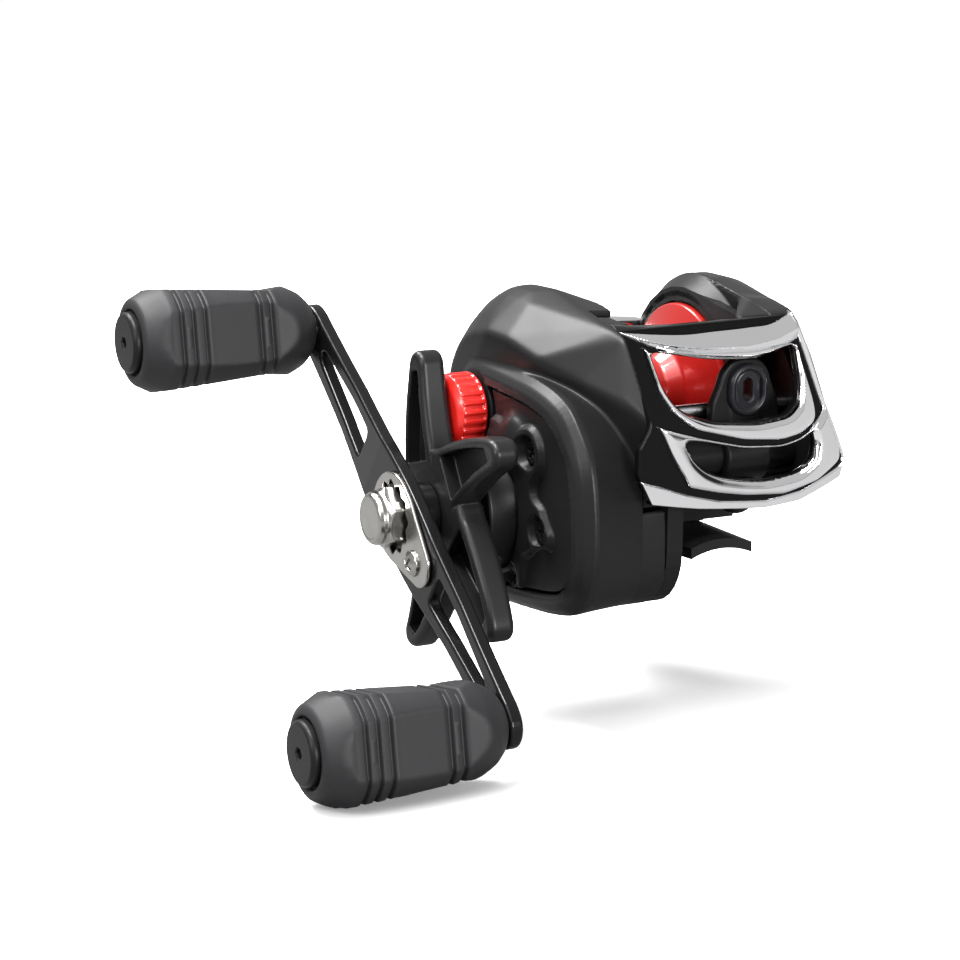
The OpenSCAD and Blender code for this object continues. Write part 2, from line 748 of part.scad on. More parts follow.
module pressure_plate() {
    color("silver") difference() {
        union() {
            x_bar(out(stack_out), out(drive_out + 0.6), disc_r, main_y, main_z);
            x_bar(out(drive_out + 0.6), out(plate_out), disc_r - 3.5, main_y, main_z);
        }
        x_bar(out(stack_out) + 1, out(plate_out) - 1, main_shaft_r, main_y, main_z);
    }
}

module clutch_sleeve() {
    color("silver") x_tube(out(plate_out), out(sleeve_out), sleeve_r, main_shaft_r, main_y, main_z);
}

// Two dished washers, back to back
module spring_washers() {
    color("gray") translate([out(sleeve_out), main_y, main_z]) rotate([0, -90, 0])
        rotate_extrude() polygon([[main_shaft_r, 0], [main_shaft_r + 0.5, 0], [5.6, 0.5], [5.6, 0.9],
            [main_shaft_r + 0.5, 1.4], [main_shaft_r, 1.4]]);
}

// The crank's outline, as [along, across] with its hub at the middle
module crank_outline() {
    hull() {
        for (s = [-1, 1]) {
            translate([s * arm_half, 0]) circle(arm_end_r, $fn = hull_fn);
            translate([s * 30, 0]) circle(5, $fn = hull_fn);
            translate([s * 14, 0]) circle(6.7, $fn = hull_fn);
        }
        circle(hub_half_w, $fn = hull_fn);
    }
}

// One lightening slot, wide at the hub and narrow at the knob
module crank_slot() {
    hull() {
        translate([17.4, 2.4]) circle(1.4, $fn = hull_fn);
        translate([17.4, -2.4]) circle(1.4, $fn = hull_fn);
        translate([arm_half - 8, 0]) circle(1.3, $fn = hull_fn);
    }
}

// Turns a shape from [along, across, outward] to the crank's place
module on_crank(d) {
    translate([out(d), main_y, main_z]) rotate([-handle_turn, 0, 0]) rotate([0, -90, 0]) children();
}

// The plate steps in from its hub to its arms, seen from the side as [along, outward]
module crank() {
    flat = 13;
    bent = 21;
    far = arm_half + arm_end_r + 1;
    top = crank_t + crank_dish;
    color("black") difference() {
        union() {
            x_bar(out(star_out + 0.4), out(crank_in + 0.2), 5.6, main_y, main_z);
            intersection() {
            on_crank(arm_in) linear_extrude(20) crank_outline();
            on_crank(arm_in) translate([0, 20, 0]) rotate([90, 0, 0]) linear_extrude(40)
                polygon([[-far, 0], [-bent, 0], [-flat, crank_dish], [flat, crank_dish], [bent, 0],
                    [far, 0], [far, crank_t], [bent, crank_t], [flat, top], [-flat, top],
                    [-bent, crank_t], [-far, crank_t]]);
            }
        }
        on_crank(arm_in - 1) linear_extrude(20) crank_slot();
        on_crank(arm_in - 1) mirror([1, 0, 0]) linear_extrude(20) crank_slot();
        x_bar(out(star_out), out(crank_out + 1), main_shaft_r, main_y, main_z);
        for (s = [-1, 1]) on_crank(arm_in - 1) translate([s * arm_half, 0, 0])
            cylinder(h = 10, r = post_r);
        on_crank(crank_in - 1) translate([retainer_arm * cos(retainer_turn),
            retainer_arm * sin(retainer_turn), 0]) cylinder(h = 10, r = 1);
    }
}
retainer_arm = 9.4;
retainer_turn = 200;

module handle_nut() {
    color("silver") difference() {
        union() {
            on_crank(crank_out) cylinder(h = 3.4, r = 5.7, $fn = 6);
            on_crank(crank_out + 3) cylinder(h = 1.2, r = 4.8);
            on_crank(crank_out + 4.1) cylinder(h = nut_length - 4.1, r1 = 4.8, r2 = 4.2);
        }
        x_bar(out(crank_out - 1), out(nut_out - 1), main_shaft_r, main_y, main_z);
    }
}

// Teardrop plate that keeps the nut from turning
module nut_retainer() {
    color("silver") difference() {
        on_crank(crank_out) linear_extrude(retainer_t) hull() {
            circle(8.4, $fn = hull_fn);
            translate([retainer_arm * cos(retainer_turn), retainer_arm * sin(retainer_turn)])
                circle(3.2, $fn = hull_fn);
        }
        on_crank(crank_out - 1) cylinder(h = 4, r = 5.7, $fn = 6);
        on_crank(crank_out - 1) translate([retainer_arm * cos(retainer_turn),
            retainer_arm * sin(retainer_turn), 0]) cylinder(h = 4, r = 1);
    }
}

module retainer_screw() {
    color("silver") on_crank(crank_in) translate([retainer_arm * cos(retainer_turn),
        retainer_arm * sin(retainer_turn), 0]) difference() {
        union() {
            cylinder(h = crank_t + retainer_t, r = 1);
            translate([0, 0, crank_t + retainer_t]) cylinder(h = 1, r1 = 2.2, r2 = 1.4);
        }
        for (turn = [0, 90]) translate([0, 0, crank_t + retainer_t + 1]) rotate([0, 0, turn])
            cube([3, 0.5, 1], center = true);
    }
}

module knob_post(s) {
    color("silver") on_crank(arm_in) translate([s * arm_half, 0, 0]) {
        cylinder(h = post_out - arm_in, r = post_r);
        translate([0, 0, crank_t]) cylinder(h = 0.4, r = post_r + 1);
        translate([0, 0, post_out - arm_in]) cylinder(h = 0.8, r = post_r + 1);
    }
}

module knob_posts() {
    knob_post(1);
    knob_post(-1);
}

// ================= body: star =================

// One arm: a curved spoon, as [radial, sideways]
module star_arm() {
    polygon([[5, 5], [8, 3.2], [12, 2.6], [19, 2.2], [25, 2.4], [star_reach - 2, 2.2],
        [star_reach - 0.2, 1], [star_reach, -0.6], [star_reach - 1, -2.1], [24, -4.2], [19, -6.2],
        [13.5, -7.8], [8, -8.2], [5, -7]]);
}

module star_drag() {
    color("black") difference() {
        union() {
            x_bar(out(star_in), out(star_out), 8.4, main_y, main_z);
            for (i = [0 : star_arms - 1]) translate([0, main_y, main_z])
                rotate([-star_turn - i * full / star_arms, 0, 0])
                x_prism(out(arms_in), out(arms_out)) rotate(90) star_arm();
        }
        x_bar(out(star_in - 1), out(star_out + 1), main_shaft_r + run_fit, main_y, main_z);
        x_bar(out(star_in - 1), out(nut_seat), 5.6 + gap, main_y, main_z);
        translate([out(nut_seat + nut_seat_h), main_y, main_z]) rotate([0, 90, 0])
            cylinder(h = nut_seat_h + 1, r = 5.6, $fn = 6);
    }
}
star_turn = 15;
nut_seat = springs_out + 0.35;
nut_seat_h = 2.4;

module drag_nut() {
    color("goldenrod") difference() {
        translate([out(nut_seat + nut_seat_h), main_y, main_z]) rotate([0, 90, 0])
            cylinder(h = nut_seat_h, r = 5.6, $fn = 6);
        x_bar(out(nut_seat - 1), out(nut_seat + nut_seat_h + 1), main_shaft_r + run_fit, main_y, main_z);
    }
}

// ================= bodies: knobs =================

// A knob's outline as [radius, length from the crank]
knob_profile = [[post_r + run_fit, 0], [4.4, 0], [5.6, 1.8], [7.6, 5.4], [9.3, 10.4],
    [knob_r, knob_length - 16.5], [knob_r - 0.2, knob_length - 9], [8.9, knob_length - 2], [7.7, knob_length], [5.4, knob_length],
    [5.4, knob_length - 2.4], [post_r + 1.4, knob_length - 2.4], [post_r + 1.4, knob_length - 5],
    [post_r + run_fit, knob_length - 5]];

module knob(s) {
    flat_at = knob_r - 1.1;
    color("#303030") on_crank(knob_in) translate([s * arm_half, 0, 0]) difference() {
        rotate_extrude() polygon(knob_profile);
        for (turn = [0, 90, 180, 270]) rotate([0, 0, turn])
            translate([flat_at, -10, 7]) cube([8, 20, knob_length - 13]);
    }
}

module knob_cap(s) {
    color("dimgray") on_crank(knob_out - 2.2) translate([s * arm_half, 0, 0]) difference() {
        union() {
            cylinder(h = 2.2, r = 5.4);
            translate([0, 0, 2.2]) cylinder(h = cap_out - knob_out, r1 = 5.4, r2 = 4.7);
        }
        translate([0, 0, 2.3]) cylinder(h = 5, r = 1.2, $fn = 6);
        translate([0, 0, -1]) cylinder(h = 2.6, r = post_r + 1.4);
    }
}
module upper_knob() { knob(1); }
module upper_knob_cap() { knob_cap(1); }
module lower_knob() { knob(-1); }
module lower_knob_cap() { knob_cap(-1); }

// ================= body: spool =================

module spool() {
    half = spool_gap / 2;
    color("red") translate([0, spool_y, spool_z]) rotate([0, 90, 0]) rotate_extrude() polygon([
        [spool_shaft_r, -8], [3, -8], [3.6, -7.4], [4.8, 0], [3.6, 7.4], [3, 8], [spool_shaft_r, 8],
        [spool_shaft_r, 9.4], [4.2, 9.4], [5, 8], [12.4, half], [14.6, half + 0.4], [14.6, spool_end],
        [flange_r, spool_end], [flange_r, half], [13.4, half - 1], [8.4, 7], [arbor_r + 0.4, 4.4],
        [arbor_r, 0], [arbor_r + 0.4, -4.4], [8.4, -7], [13.4, 1 - half], [flange_r, -half],
        [flange_r, -spool_end], [14.6, -spool_end], [14.6, -half - 0.4], [12.4, -half], [5, -8],
        [4.2, -9.4], [spool_shaft_r, -9.4]]);
}

module spool_shaft() {
    color("silver") difference() {
        x_bar(out(shaft_tip), wall_out + 3.2, spool_shaft_r, spool_y, spool_z);
        cross_pin(0.5);
    }
}

module cross_pin(r) {
    translate([pin_x, spool_y, spool_z]) rotate([pinion_lean, 0, 0])
        cylinder(h = 2 * pinion_hub_r - 0.4, r = r, center = true, $fn = 32);
}
pin_x = out(dog_end) + 0.9;

// Cross pin that the pinion's slots drive
module spool_pin() {
    color("silver") cross_pin(0.5);
}

module brake_rotor() {
    color("silver") x_tube(spool_gap / 2 - 0.8, spool_end + 0.1, 9, 7.8, spool_y, spool_z);
}

// ================= bodies: pinion, yoke, clutch =================

module pinion() {
    phase = 180 + 90 - pinion_lean + 180 / pinion_teeth;
    color("goldenrod") difference() {
        union() {
            x_bar(out(dog_end), out(dog_out), pinion_hub_r, spool_y, spool_z);
            x_bar(out(dog_out), out(neck_out), neck_r, spool_y, spool_z);
            x_bar(out(neck_out), out(teeth_in), pinion_hub_r, spool_y, spool_z);
            translate([0, spool_y, spool_z]) x_prism(out(teeth_in - 0.2), out(teeth_out))
                gear_outline(pinion_teeth, pinion_pitch_r, 0.85 * drive_module, 0.8 * drive_module, phase);
            x_bar(out(teeth_out - 0.2), out(stub_out), pinion_stub_r, spool_y, spool_z);
        }
        x_bar(out(dog_end) + 1, out(stub_out) - 1, spool_shaft_r + run_fit, spool_y, spool_z);
        translate([out(dog_end) - 1.3, spool_y, spool_z]) rotate([pinion_lean, 0, 0])
            translate([0, -0.85, -5]) cube([3.4, 1.7, 10]);
    }
}

module yoke() {
    slot_r = neck_r + 0.35;
    color("dimgray") difference() {
        x_prism(out(yoke_in), out(yoke_in + yoke_t)) hull() {
            for (s = [-1, 1]) translate([post_y(s), post_z(s)]) circle(2.2, $fn = hull_fn);
            translate([spool_y, spool_z]) circle(5, $fn = hull_fn);
        }
        x_bar(out(yoke_in - 1), out(yoke_in + 3), slot_r, spool_y, spool_z);
        translate([out(yoke_in + 3), spool_y, spool_z]) rotate([180 - pinion_lean, 0, 0])
            translate([0, -slot_r, 0]) cube([5, 2 * slot_r, 8]);
        for (s = [-1, 1]) x_bar(out(yoke_in - 1), out(yoke_in + 3), yoke_post_r + run_fit,
            post_y(s), post_z(s));
    }
}

// Bar behind the spool that the thumb presses to free it
module thumb_bar() {
    color("silver") {
        x_prism(-ring_in + gap, ring_in - gap) polygon([[bar_y, bar_z], [bar_y + bar_w, bar_z],
            [bar_y + bar_w, bar_z + bar_t - 1], [bar_y + bar_w - 1, bar_z + bar_t],
            [bar_y, bar_z + bar_t - 0.6]]);
        for (span = [[out(0.35), gap - ring_in], [ring_in - gap, wall_out - 1.5]])
            x_prism(span[0], span[1]) translate([bar_y, bar_z]) square([tab_w, tab_t]);
    }
}

// Plate on the bar's end, whose ramps push the yoke out as the bar goes down
module clutch_cam() {
    cam_y = spool_y + 4.4;
    ramp_z = spool_z + 3.3;
    slope = clutch_travel / bar_travel;
    color("dimgray") {
        x_prism(out(0.35), out(0.95)) translate([cam_y, bar_z]) square([bar_y + tab_w - cam_y, tab_t]);
        translate([0, cam_y + 3, 0]) rotate([90, 0, 0]) linear_extrude(3) polygon([
            [out(0.35), spool_z + 1.8], [out(0.95), spool_z + 1.8], [out(0.95), ramp_z],
            [out(0.95 + (bar_travel + 0.4) * slope), ramp_z + bar_travel + 0.4],
            [out(0.95 + (bar_travel + 0.4) * slope), bar_z + tab_t], [out(0.35), bar_z + tab_t]]);
    }
}

// ================= body: cast control knob =================

module cast_control_knob() {
    collar_r = control_r - 2.2;
    top = cover_out + gap + control_length;
    color("red") difference() {
        union() {
            x_bar(out(cover_out + gap), out(top - 1), control_r, spool_y, spool_z);
            translate([out(top), spool_y, spool_z]) rotate([0, 90, 0])
                cylinder(h = 1.01, r1 = control_r - 0.8, r2 = control_r);
        }
        x_bar(out(cover_out), out(cover_out + 3.2), collar_r + run_fit, spool_y, spool_z);
        x_bar(out(cover_out), out(shaft_tip + 0.5), spool_shaft_r + gap, spool_y, spool_z);
        for (i = [0 : 23]) x_bar(out(cover_out), out(top - 1.6), 0.35,
            spool_y + control_r * cos(i * 15), spool_z + control_r * sin(i * 15));
    }
}

// ================= bodies: brake =================

module brake_dial() {
    color("dimgray") union() {
        x_bar(palm_in - 6, palm_out - 0.7, dial_stem_r, spool_y, spool_z);
        difference() {
            x_bar(palm_out - 0.7, palm_out + 1.6, dial_r, spool_y, spool_z);
            for (i = [0 : 19]) x_bar(palm_out - 1, palm_out + 2, 0.6,
                spool_y + dial_r * cos(i * 18), spool_z + dial_r * sin(i * 18));
        }
    }
}

module magnet_ring() {
    color("gray") x_tube(wall_out + 2, wall_out + 4, 11, 5 + gap, spool_y, spool_z);
}

// ================= bodies: level wind =================

module idler_gear() {
    color("white") gear(out(wind_in), out(wind_out), idler_teeth, wind_module, 0.9,
        -wind_rise + 180 / idler_teeth, idler_y, idler_z, 1.2 + run_fit);
}

module worm() {
    color("goldenrod") union() {
        x_bar(-bay_half + 0.6, bay_half - 0.6, worm_r, worm_y, worm_z);
        x_bar(out(wind_out + 0.4), bay_half + frame_wall, bush_r, worm_y, worm_z);
    }
}

module worm_gear() {
    color("white") gear(out(wind_in), out(wind_out), worm_teeth, wind_module, 0.9,
        -wind_rise, worm_y, worm_z, bush_r);
}

// Bell-shaped guide on a carriage that slides along the worm's guard
module line_guide() {
    hole_z = worm_z + 12;
    color("#1a1a1a") difference() {
        union() {
            x_tube(guide_x - 4.5, guide_x + 4.5, guard_r + 1.7, guard_r + run_fit, worm_y, worm_z);
            translate([guide_x, worm_y, worm_z - guard_r - 5.6]) cylinder(h = 5, r = 3.5);
            translate([guide_x, worm_y, worm_z - guard_r - 7.4]) cylinder(h = 1.81, r1 = 2.6, r2 = 3.5);
            translate([guide_x, plate_y + 2, 0]) rotate([90, 0, 0]) linear_extrude(2)
                polygon([[-7, worm_z + 3], [-6.6, worm_z + 6], [-5.6, worm_z + 10], [-5.3, worm_z + 15],
                    [-3.8, worm_z + 17.4], [3.8, worm_z + 17.4], [5.3, worm_z + 15], [5.6, worm_z + 10],
                    [6.6, worm_z + 6], [7, worm_z + 3]]);
            translate([guide_x - 4.5, plate_y, worm_z + 2.6]) cube([9, 5.6, 3]);
            translate([guide_x - 3, plate_y, rod_z - 2.2]) cube([6, rod_y - plate_y + 2.2, 4.4]);
        }
        x_bar(guide_x - 10, guide_x + 10, guard_r + run_fit, worm_y, worm_z);
        x_bar(guide_x - 10, guide_x + 10, rod_r + run_fit, rod_y, rod_z);
        translate([guide_x, plate_y + 10, hole_z]) rotate([90, 0, 0]) insert_hole(3.2, 4, 20);
    }
}
plate_y = -29.8;

module insert_hole(rx, rz, h) {
    hull() for (s = [-1, 1]) translate([0, s * (rz - rx), 0]) cylinder(h = h, r = rx, $fn = hull_fn);
}

module guide_insert() {
    color("dimgray") translate([guide_x, plate_y + 2, worm_z + 12]) rotate([90, 0, 0]) difference() {
        union() {
            insert_hole(3.2, 4, 2);
            translate([0, 0, 2]) insert_hole(3.9, 4.7, 1.4);
        }
        translate([0, 0, -1]) insert_hole(0.9, 2, 8);
    }
}

frame();
reel_foot();
foot_rivets();
handle_side_cover();
bearing_plate();
control_collar();
cover_screws();
palm_side_cover();
brake_plate();
thumb_rest();
front_shield();
upper_trim();
lower_trim();
bottom_trim();
one_way_bearing();
main_shaft_bearing();
pinion_bearing();
spool_bearings();
yoke_posts();
yoke_springs();
idler_pin();
worm_guard();
worm_bushes();
guide_rod();
main_shaft();
level_wind_gear();
ratchet_wheel();
drive_gear();
drag_discs();
key_washer();
pressure_plate();
clutch_sleeve();
spring_washers();
crank();
handle_nut();
nut_retainer();
retainer_screw();
knob_posts();
star_drag();
drag_nut();
upper_knob();
upper_knob_cap();
lower_knob();
lower_knob_cap();
spool();
spool_shaft();
spool_pin();
brake_rotor();
pinion();
yoke();
thumb_bar();
clutch_cam();
cast_control_knob();
brake_dial();
magnet_ring();
idler_gear();
worm();
worm_gear();
line_guide();
guide_insert();
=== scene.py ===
"""Looks for a low-profile baitcasting reel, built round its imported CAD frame.

Lengths are in mm until meshes are made. +X is the palm side, -Y the front, +Z up.
"""

import json
import math

import bmesh
import bpy
import numpy as np
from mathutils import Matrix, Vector
from mathutils.bvhtree import BVHTree

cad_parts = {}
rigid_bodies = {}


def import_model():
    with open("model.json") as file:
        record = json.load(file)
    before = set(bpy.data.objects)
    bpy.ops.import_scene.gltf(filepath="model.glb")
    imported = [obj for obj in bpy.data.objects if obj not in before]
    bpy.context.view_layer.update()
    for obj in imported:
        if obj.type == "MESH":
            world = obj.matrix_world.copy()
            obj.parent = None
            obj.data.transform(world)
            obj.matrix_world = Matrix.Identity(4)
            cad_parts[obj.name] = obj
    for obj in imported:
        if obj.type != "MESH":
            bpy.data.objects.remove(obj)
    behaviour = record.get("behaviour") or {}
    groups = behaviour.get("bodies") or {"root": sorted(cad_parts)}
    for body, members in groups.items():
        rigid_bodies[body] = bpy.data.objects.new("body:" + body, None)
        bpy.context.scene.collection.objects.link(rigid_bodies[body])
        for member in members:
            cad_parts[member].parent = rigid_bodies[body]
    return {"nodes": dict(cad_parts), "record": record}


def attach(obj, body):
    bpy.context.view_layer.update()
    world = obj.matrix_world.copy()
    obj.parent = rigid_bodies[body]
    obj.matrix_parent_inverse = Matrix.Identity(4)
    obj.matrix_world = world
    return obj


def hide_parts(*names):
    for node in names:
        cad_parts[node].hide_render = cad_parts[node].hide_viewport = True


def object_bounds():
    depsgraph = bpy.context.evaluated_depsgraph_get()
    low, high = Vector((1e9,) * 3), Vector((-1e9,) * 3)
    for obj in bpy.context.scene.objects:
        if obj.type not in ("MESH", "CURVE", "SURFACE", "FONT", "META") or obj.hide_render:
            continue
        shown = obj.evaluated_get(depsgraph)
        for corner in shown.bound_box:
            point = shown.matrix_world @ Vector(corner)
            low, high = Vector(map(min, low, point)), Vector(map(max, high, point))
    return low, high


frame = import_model()
nodes = frame["nodes"]
scene = bpy.context.scene
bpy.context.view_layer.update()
MM = 0.001
F32 = np.float32

# ---------------------------------------------------------------- camera
CAMERA_AT = (-264.8, -459.9, 123.6)
CAMERA_AIM = (0.4411, 0.8716, -0.2138)
LENS = 110.0
SENSOR = 36.0
camera_data = bpy.data.cameras.new("camera")
camera_data.lens = LENS
camera_data.sensor_width = SENSOR
camera_data.sensor_fit = "AUTO"
camera_data.clip_start = 0.05
camera_data.clip_end = 50
camera = bpy.data.objects.new("camera", camera_data)
scene.collection.objects.link(camera)
camera.location = Vector(CAMERA_AT) * MM
camera.rotation_euler = Vector(CAMERA_AIM).to_track_quat("-Z", "Y").to_euler()
scene.camera = camera

# ---------------------------------------------------------------- places shared with the CAD (mm)
MAIN = (-4.8, 7.1)
SPOOL = (2.116, 23.393)
WORM = (-26.551, 17.243)
HANDLE_TURN = math.radians(54.35)
U = (math.sin(HANDLE_TURN), math.cos(HANDLE_TURN))
V = (U[1], -U[0])
WALL_OUT = 14.1


def out(d):
    return -(WALL_OUT + d)


# ---------------------------------------------------------------- materials
def shader(slot, colour, rough, metal=0.0, coat=0.0, grain=0.0, grain_size=0.35, vary=0.06, spread=3.0, **extra):
    """A Principled material with small-scale grain, uneven gloss and faint colour drift."""
    m = bpy.data.materials.new(slot)
    m.use_nodes = True
    tree = m.node_tree
    b = tree.nodes["Principled BSDF"]
    b.inputs["Metallic"].default_value = metal
    b.inputs["Coat Weight"].default_value = coat
    b.inputs["Coat Roughness"].default_value = extra.get("coat_rough", 0.05)
    b.inputs["Specular IOR Level"].default_value = extra.get("specular", 0.5)
    place = tree.nodes.new("ShaderNodeTexCoord")

    def noise(size, detail=2.0, stretch=None):
        n = tree.nodes.new("ShaderNodeTexNoise")
        n.inputs["Scale"].default_value = 1000.0 / size
        n.inputs["Detail"].default_value = detail
        if stretch:
            k = tree.nodes.new("ShaderNodeMapping")
            k.inputs["Scale"].default_value = stretch
            tree.links.new(place.outputs["Object"], k.inputs["Vector"])
            tree.links.new(k.outputs["Vector"], n.inputs["Vector"])
        else:
            tree.links.new(place.outputs["Object"], n.inputs["Vector"])
        return n

    wide = noise(spread, 3.0, extra.get("stretch"))
    ramp = tree.nodes.new("ShaderNodeMix")
    ramp.data_type = "RGBA"
    ramp.inputs["A"].default_value = (*[c * (1 - 2 * vary) for c in colour], 1)
    ramp.inputs["B"].default_value = (*[min(1, c * (1 + 2 * vary)) for c in colour], 1)
    tree.links.new(wide.outputs["Fac"], ramp.inputs["Factor"])
    tree.links.new(ramp.outputs["Result"], b.inputs["Base Color"])
    fine = noise(grain_size, 2.0, extra.get("stretch"))
    gloss = tree.nodes.new("ShaderNodeMapRange")
    gloss.inputs["To Min"].default_value = rough * (1 - 1.6 * vary)
    gloss.inputs["To Max"].default_value = rough * (1 + 1.6 * vary)
    tree.links.new(wide.outputs["Fac"], gloss.inputs["Value"])
    tree.links.new(gloss.outputs["Result"], b.inputs["Roughness"])
    if grain:
        bump = tree.nodes.new("ShaderNodeBump")
        bump.inputs["Strength"].default_value = grain
        bump.inputs["Distance"].default_value = 0.00004
        tree.links.new(fine.outputs["Fac"], bump.inputs["Height"])
        tree.links.new(bump.outputs["Normal"], b.inputs["Normal"])
    return m


material = {
    "case_black": shader("case_black", (0.006, 0.006, 0.0063), 0.38,
                       grain=0.25, grain_size=0.25, spread=9, specular=0.15),
    "frame_black": shader("frame_black", (0.005, 0.005, 0.0053), 0.4,
                        grain=0.2, grain_size=0.3, spread=8, specular=0.13),
    "shield_black": shader("shield_black", (0.002, 0.002, 0.002), 0.14, coat=0.06, spread=12, specular=0.1),
    "chrome_trim": shader("chrome_trim", (0.80, 0.80, 0.81), 0.05, metal=1, spread=14, vary=0.02),
    "spool_red": shader("spool_red", (0.28, 0.006, 0.004), 0.3, metal=0.3, coat=0.4, spread=10, vary=0.03),
    "knob_red": shader("knob_red", (0.48, 0.010, 0.007), 0.28, metal=0.2, coat=0.5, spread=6, vary=0.04),
    "crank_black": shader("crank_black", (0.003, 0.003, 0.0033), 0.24, coat=0.05,
                        grain=0.1, spread=10, specular=0.18),
    "star_black": shader("star_black", (0.007, 0.007, 0.0075), 0.36,
                       grain=0.2, grain_size=0.3, spread=8, specular=0.2),
    "steel": shader("steel", (0.55, 0.55, 0.56), 0.26, metal=1, grain=0.15, spread=2, stretch=(1, 8, 8)),
    "nickel": shader("nickel", (0.36, 0.35, 0.335), 0.22, metal=1, grain=0.1, grain_size=0.5, spread=3, vary=0.08),
    "bearing_steel": shader("bearing_steel", (0.6, 0.6, 0.61), 0.18, metal=1, spread=4),
    "brass": shader("brass", (0.72, 0.5, 0.22), 0.26, metal=1, grain=0.1, spread=3),
    "gear_white": shader("gear_white", (0.7, 0.69, 0.64), 0.4, grain=0.1, spread=5),
    "drag_fibre": shader("drag_fibre", (0.015, 0.015, 0.015), 0.6, grain=0.8, grain_size=0.6, spread=3),
    "grip_rubber": shader("grip_rubber", (0.010, 0.010, 0.011), 0.55, grain=0.5, grain_size=0.22,
                          spread=7, vary=0.12, specular=0.25),
    "foot_black": shader("foot_black", (0.005, 0.005, 0.0053), 0.34, grain=0.15, spread=8, specular=0.2),
    "ring_ceramic": shader("ring_ceramic", (0.010, 0.010, 0.012), 0.28, coat=0.05, spread=4, specular=0.2),
    "magnet": shader("magnet", (0.5, 0.5, 0.52), 0.3, metal=1, spread=4),
}
for part in frame["record"]["subparts"]:
    ob = nodes[part["node"]]
    ob.data.materials.clear()
    ob.data.materials.append(material[part["material_slot"]])


# ---------------------------------------------------------------- mesh tools
def piece(name, verts, faces, body, slot, replaces=(), normals=None):
    """A finished mesh, in mm, that rides on a body and takes a material slot."""
    verts = np.asarray(verts, float) * MM
    mesh = bpy.data.meshes.new(name)
    mesh.from_pydata(verts.tolist(), [], [tuple(int(i) for i in f) for f in faces])
    mesh.update()
    mesh.polygons.foreach_set("use_smooth", np.ones(len(mesh.polygons), bool))
    if normals is not None:
        mesh.normals_split_custom_set_from_vertices([tuple(n) for n in normals])
    mesh.materials.append(material[slot])
    ob = bpy.data.objects.new(name, mesh)
    scene.collection.objects.link(ob)
    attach(ob, body)
    if replaces:
        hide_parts(*replaces)
    return ob


def soften(points, r=0.3, n=3, closed=False):
    """Rounds a polyline's corners with short Bezier arcs."""
    p = np.array(points, float)
    m = len(p)
    res = []
    for i in range(m):
        if not closed and i in (0, m - 1):
            res.append(p[i])
            continue
        a, b, c = p[i - 1], p[i], p[(i + 1) % m]
        la, lc = np.linalg.norm(a - b), np.linalg.norm(c - b)
        k = min(r, la * 0.45, lc * 0.45)
        s, e = b + (a - b) * k / max(la, 1e-9), b + (c - b) * k / max(lc, 1e-9)
        for t in np.linspace(0, 1, n + 1):
            res.append((1 - t) ** 2 * s + 2 * t * (1 - t) * b + t * t * e)
    return np.array(res)


def lathe(name, profile, x0, centre, body, slot, replaces=(), n=96, shape=None, way=-1, ends=True):
    """A turned piece about an axis along X, from (distance along the axis, radius) pairs.

    shape may change a radius round the turn; without ends the profile is a closed loop.
    """
    a = np.linspace(0, 2 * math.pi, n, endpoint=False)
    rings = []
    for s, r in profile:
        rr = np.full(n, r) if shape is None else shape(s, r, a)
        rings.append(np.stack([np.full(n, x0 + way * s), centre[0] + rr * np.cos(a),
                               centre[1] + rr * np.sin(a)], 1))
    k = len(rings)
    verts = np.concatenate(rings)
    faces = []
    for i in range(k - 1 if ends else k):
        for j in range(n):
            m = (i + 1) % k * n
            q = (i * n + j, i * n + (j + 1) % n, m + (j + 1) % n, m + j)
            faces.append(q if way < 0 else q[::-1])
    if ends:
        first, last = tuple(range(n)), tuple(range((k - 1) * n, k * n))
        faces += [first[::-1] if way < 0 else first, last if way < 0 else last[::-1]]
    ob = piece(name, verts, faces, body, slot, replaces)
    bend = ob.modifiers.new("edges", "WEIGHTED_NORMAL")
    bend.keep_sharp = True
    return ob


# Signed distances are negative inside a solid.
def outline_distance(points, A, B):
    """Distance to a closed polygon."""
    p = np.asarray(points, F32)
    best = np.full(np.broadcast(A, B).shape, 1e9, F32)
    inside = np.zeros(best.shape, bool)
    for a, b in zip(p, np.roll(p, -1, 0)):
        e = b - a
        w0, w1 = A - a[0], B - a[1]
        t = np.clip((w0 * e[0] + w1 * e[1]) / max(float(e @ e), 1e-9), 0, 1)
        best = np.minimum(best, (w0 - t * e[0]) ** 2 + (w1 - t * e[1]) ** 2)
        if a[1] != b[1]:
            inside ^= ((a[1] <= B) != (b[1] <= B)) & (A < a[0] + (B - a[1]) / (b[1] - a[1]) * e[0])
    return np.where(inside, -1, 1).astype(F32) * np.sqrt(best)


def curve(points, n=6, closed=True):
    """A smooth line through points."""
    p = np.array(points, float)
    m = len(p)
    res = []
    for i in range(m if closed else m - 1):
        if closed:
            p0, p1, p2, p3 = p[i - 1], p[i], p[(i + 1) % m], p[(i + 2) % m]
        else:
            p0, p1, p2, p3 = p[max(i - 1, 0)], p[i], p[i + 1], p[min(i + 2, m - 1)]
        for t in np.linspace(0, 1, n, endpoint=False):
            res.append(0.5 * (2 * p1 + (p2 - p0) * t + (2 * p0 - 5 * p1 + 4 * p2 - p3) * t * t
                              + (3 * p1 - p0 - 3 * p2 + p3) * t ** 3))
    if not closed:
        res.append(p[-1])
    return np.array(res)


def disc(A, B, c, r):
    return np.sqrt((A - c[0]) ** 2 + (B - c[1]) ** 2) - r


def fillet_and(a, b, r):
    """Both, with a rounded edge."""
    return np.minimum(-r, np.maximum(a, b)) + np.sqrt(np.maximum(a + r, 0) ** 2 + np.maximum(b + r, 0) ** 2)


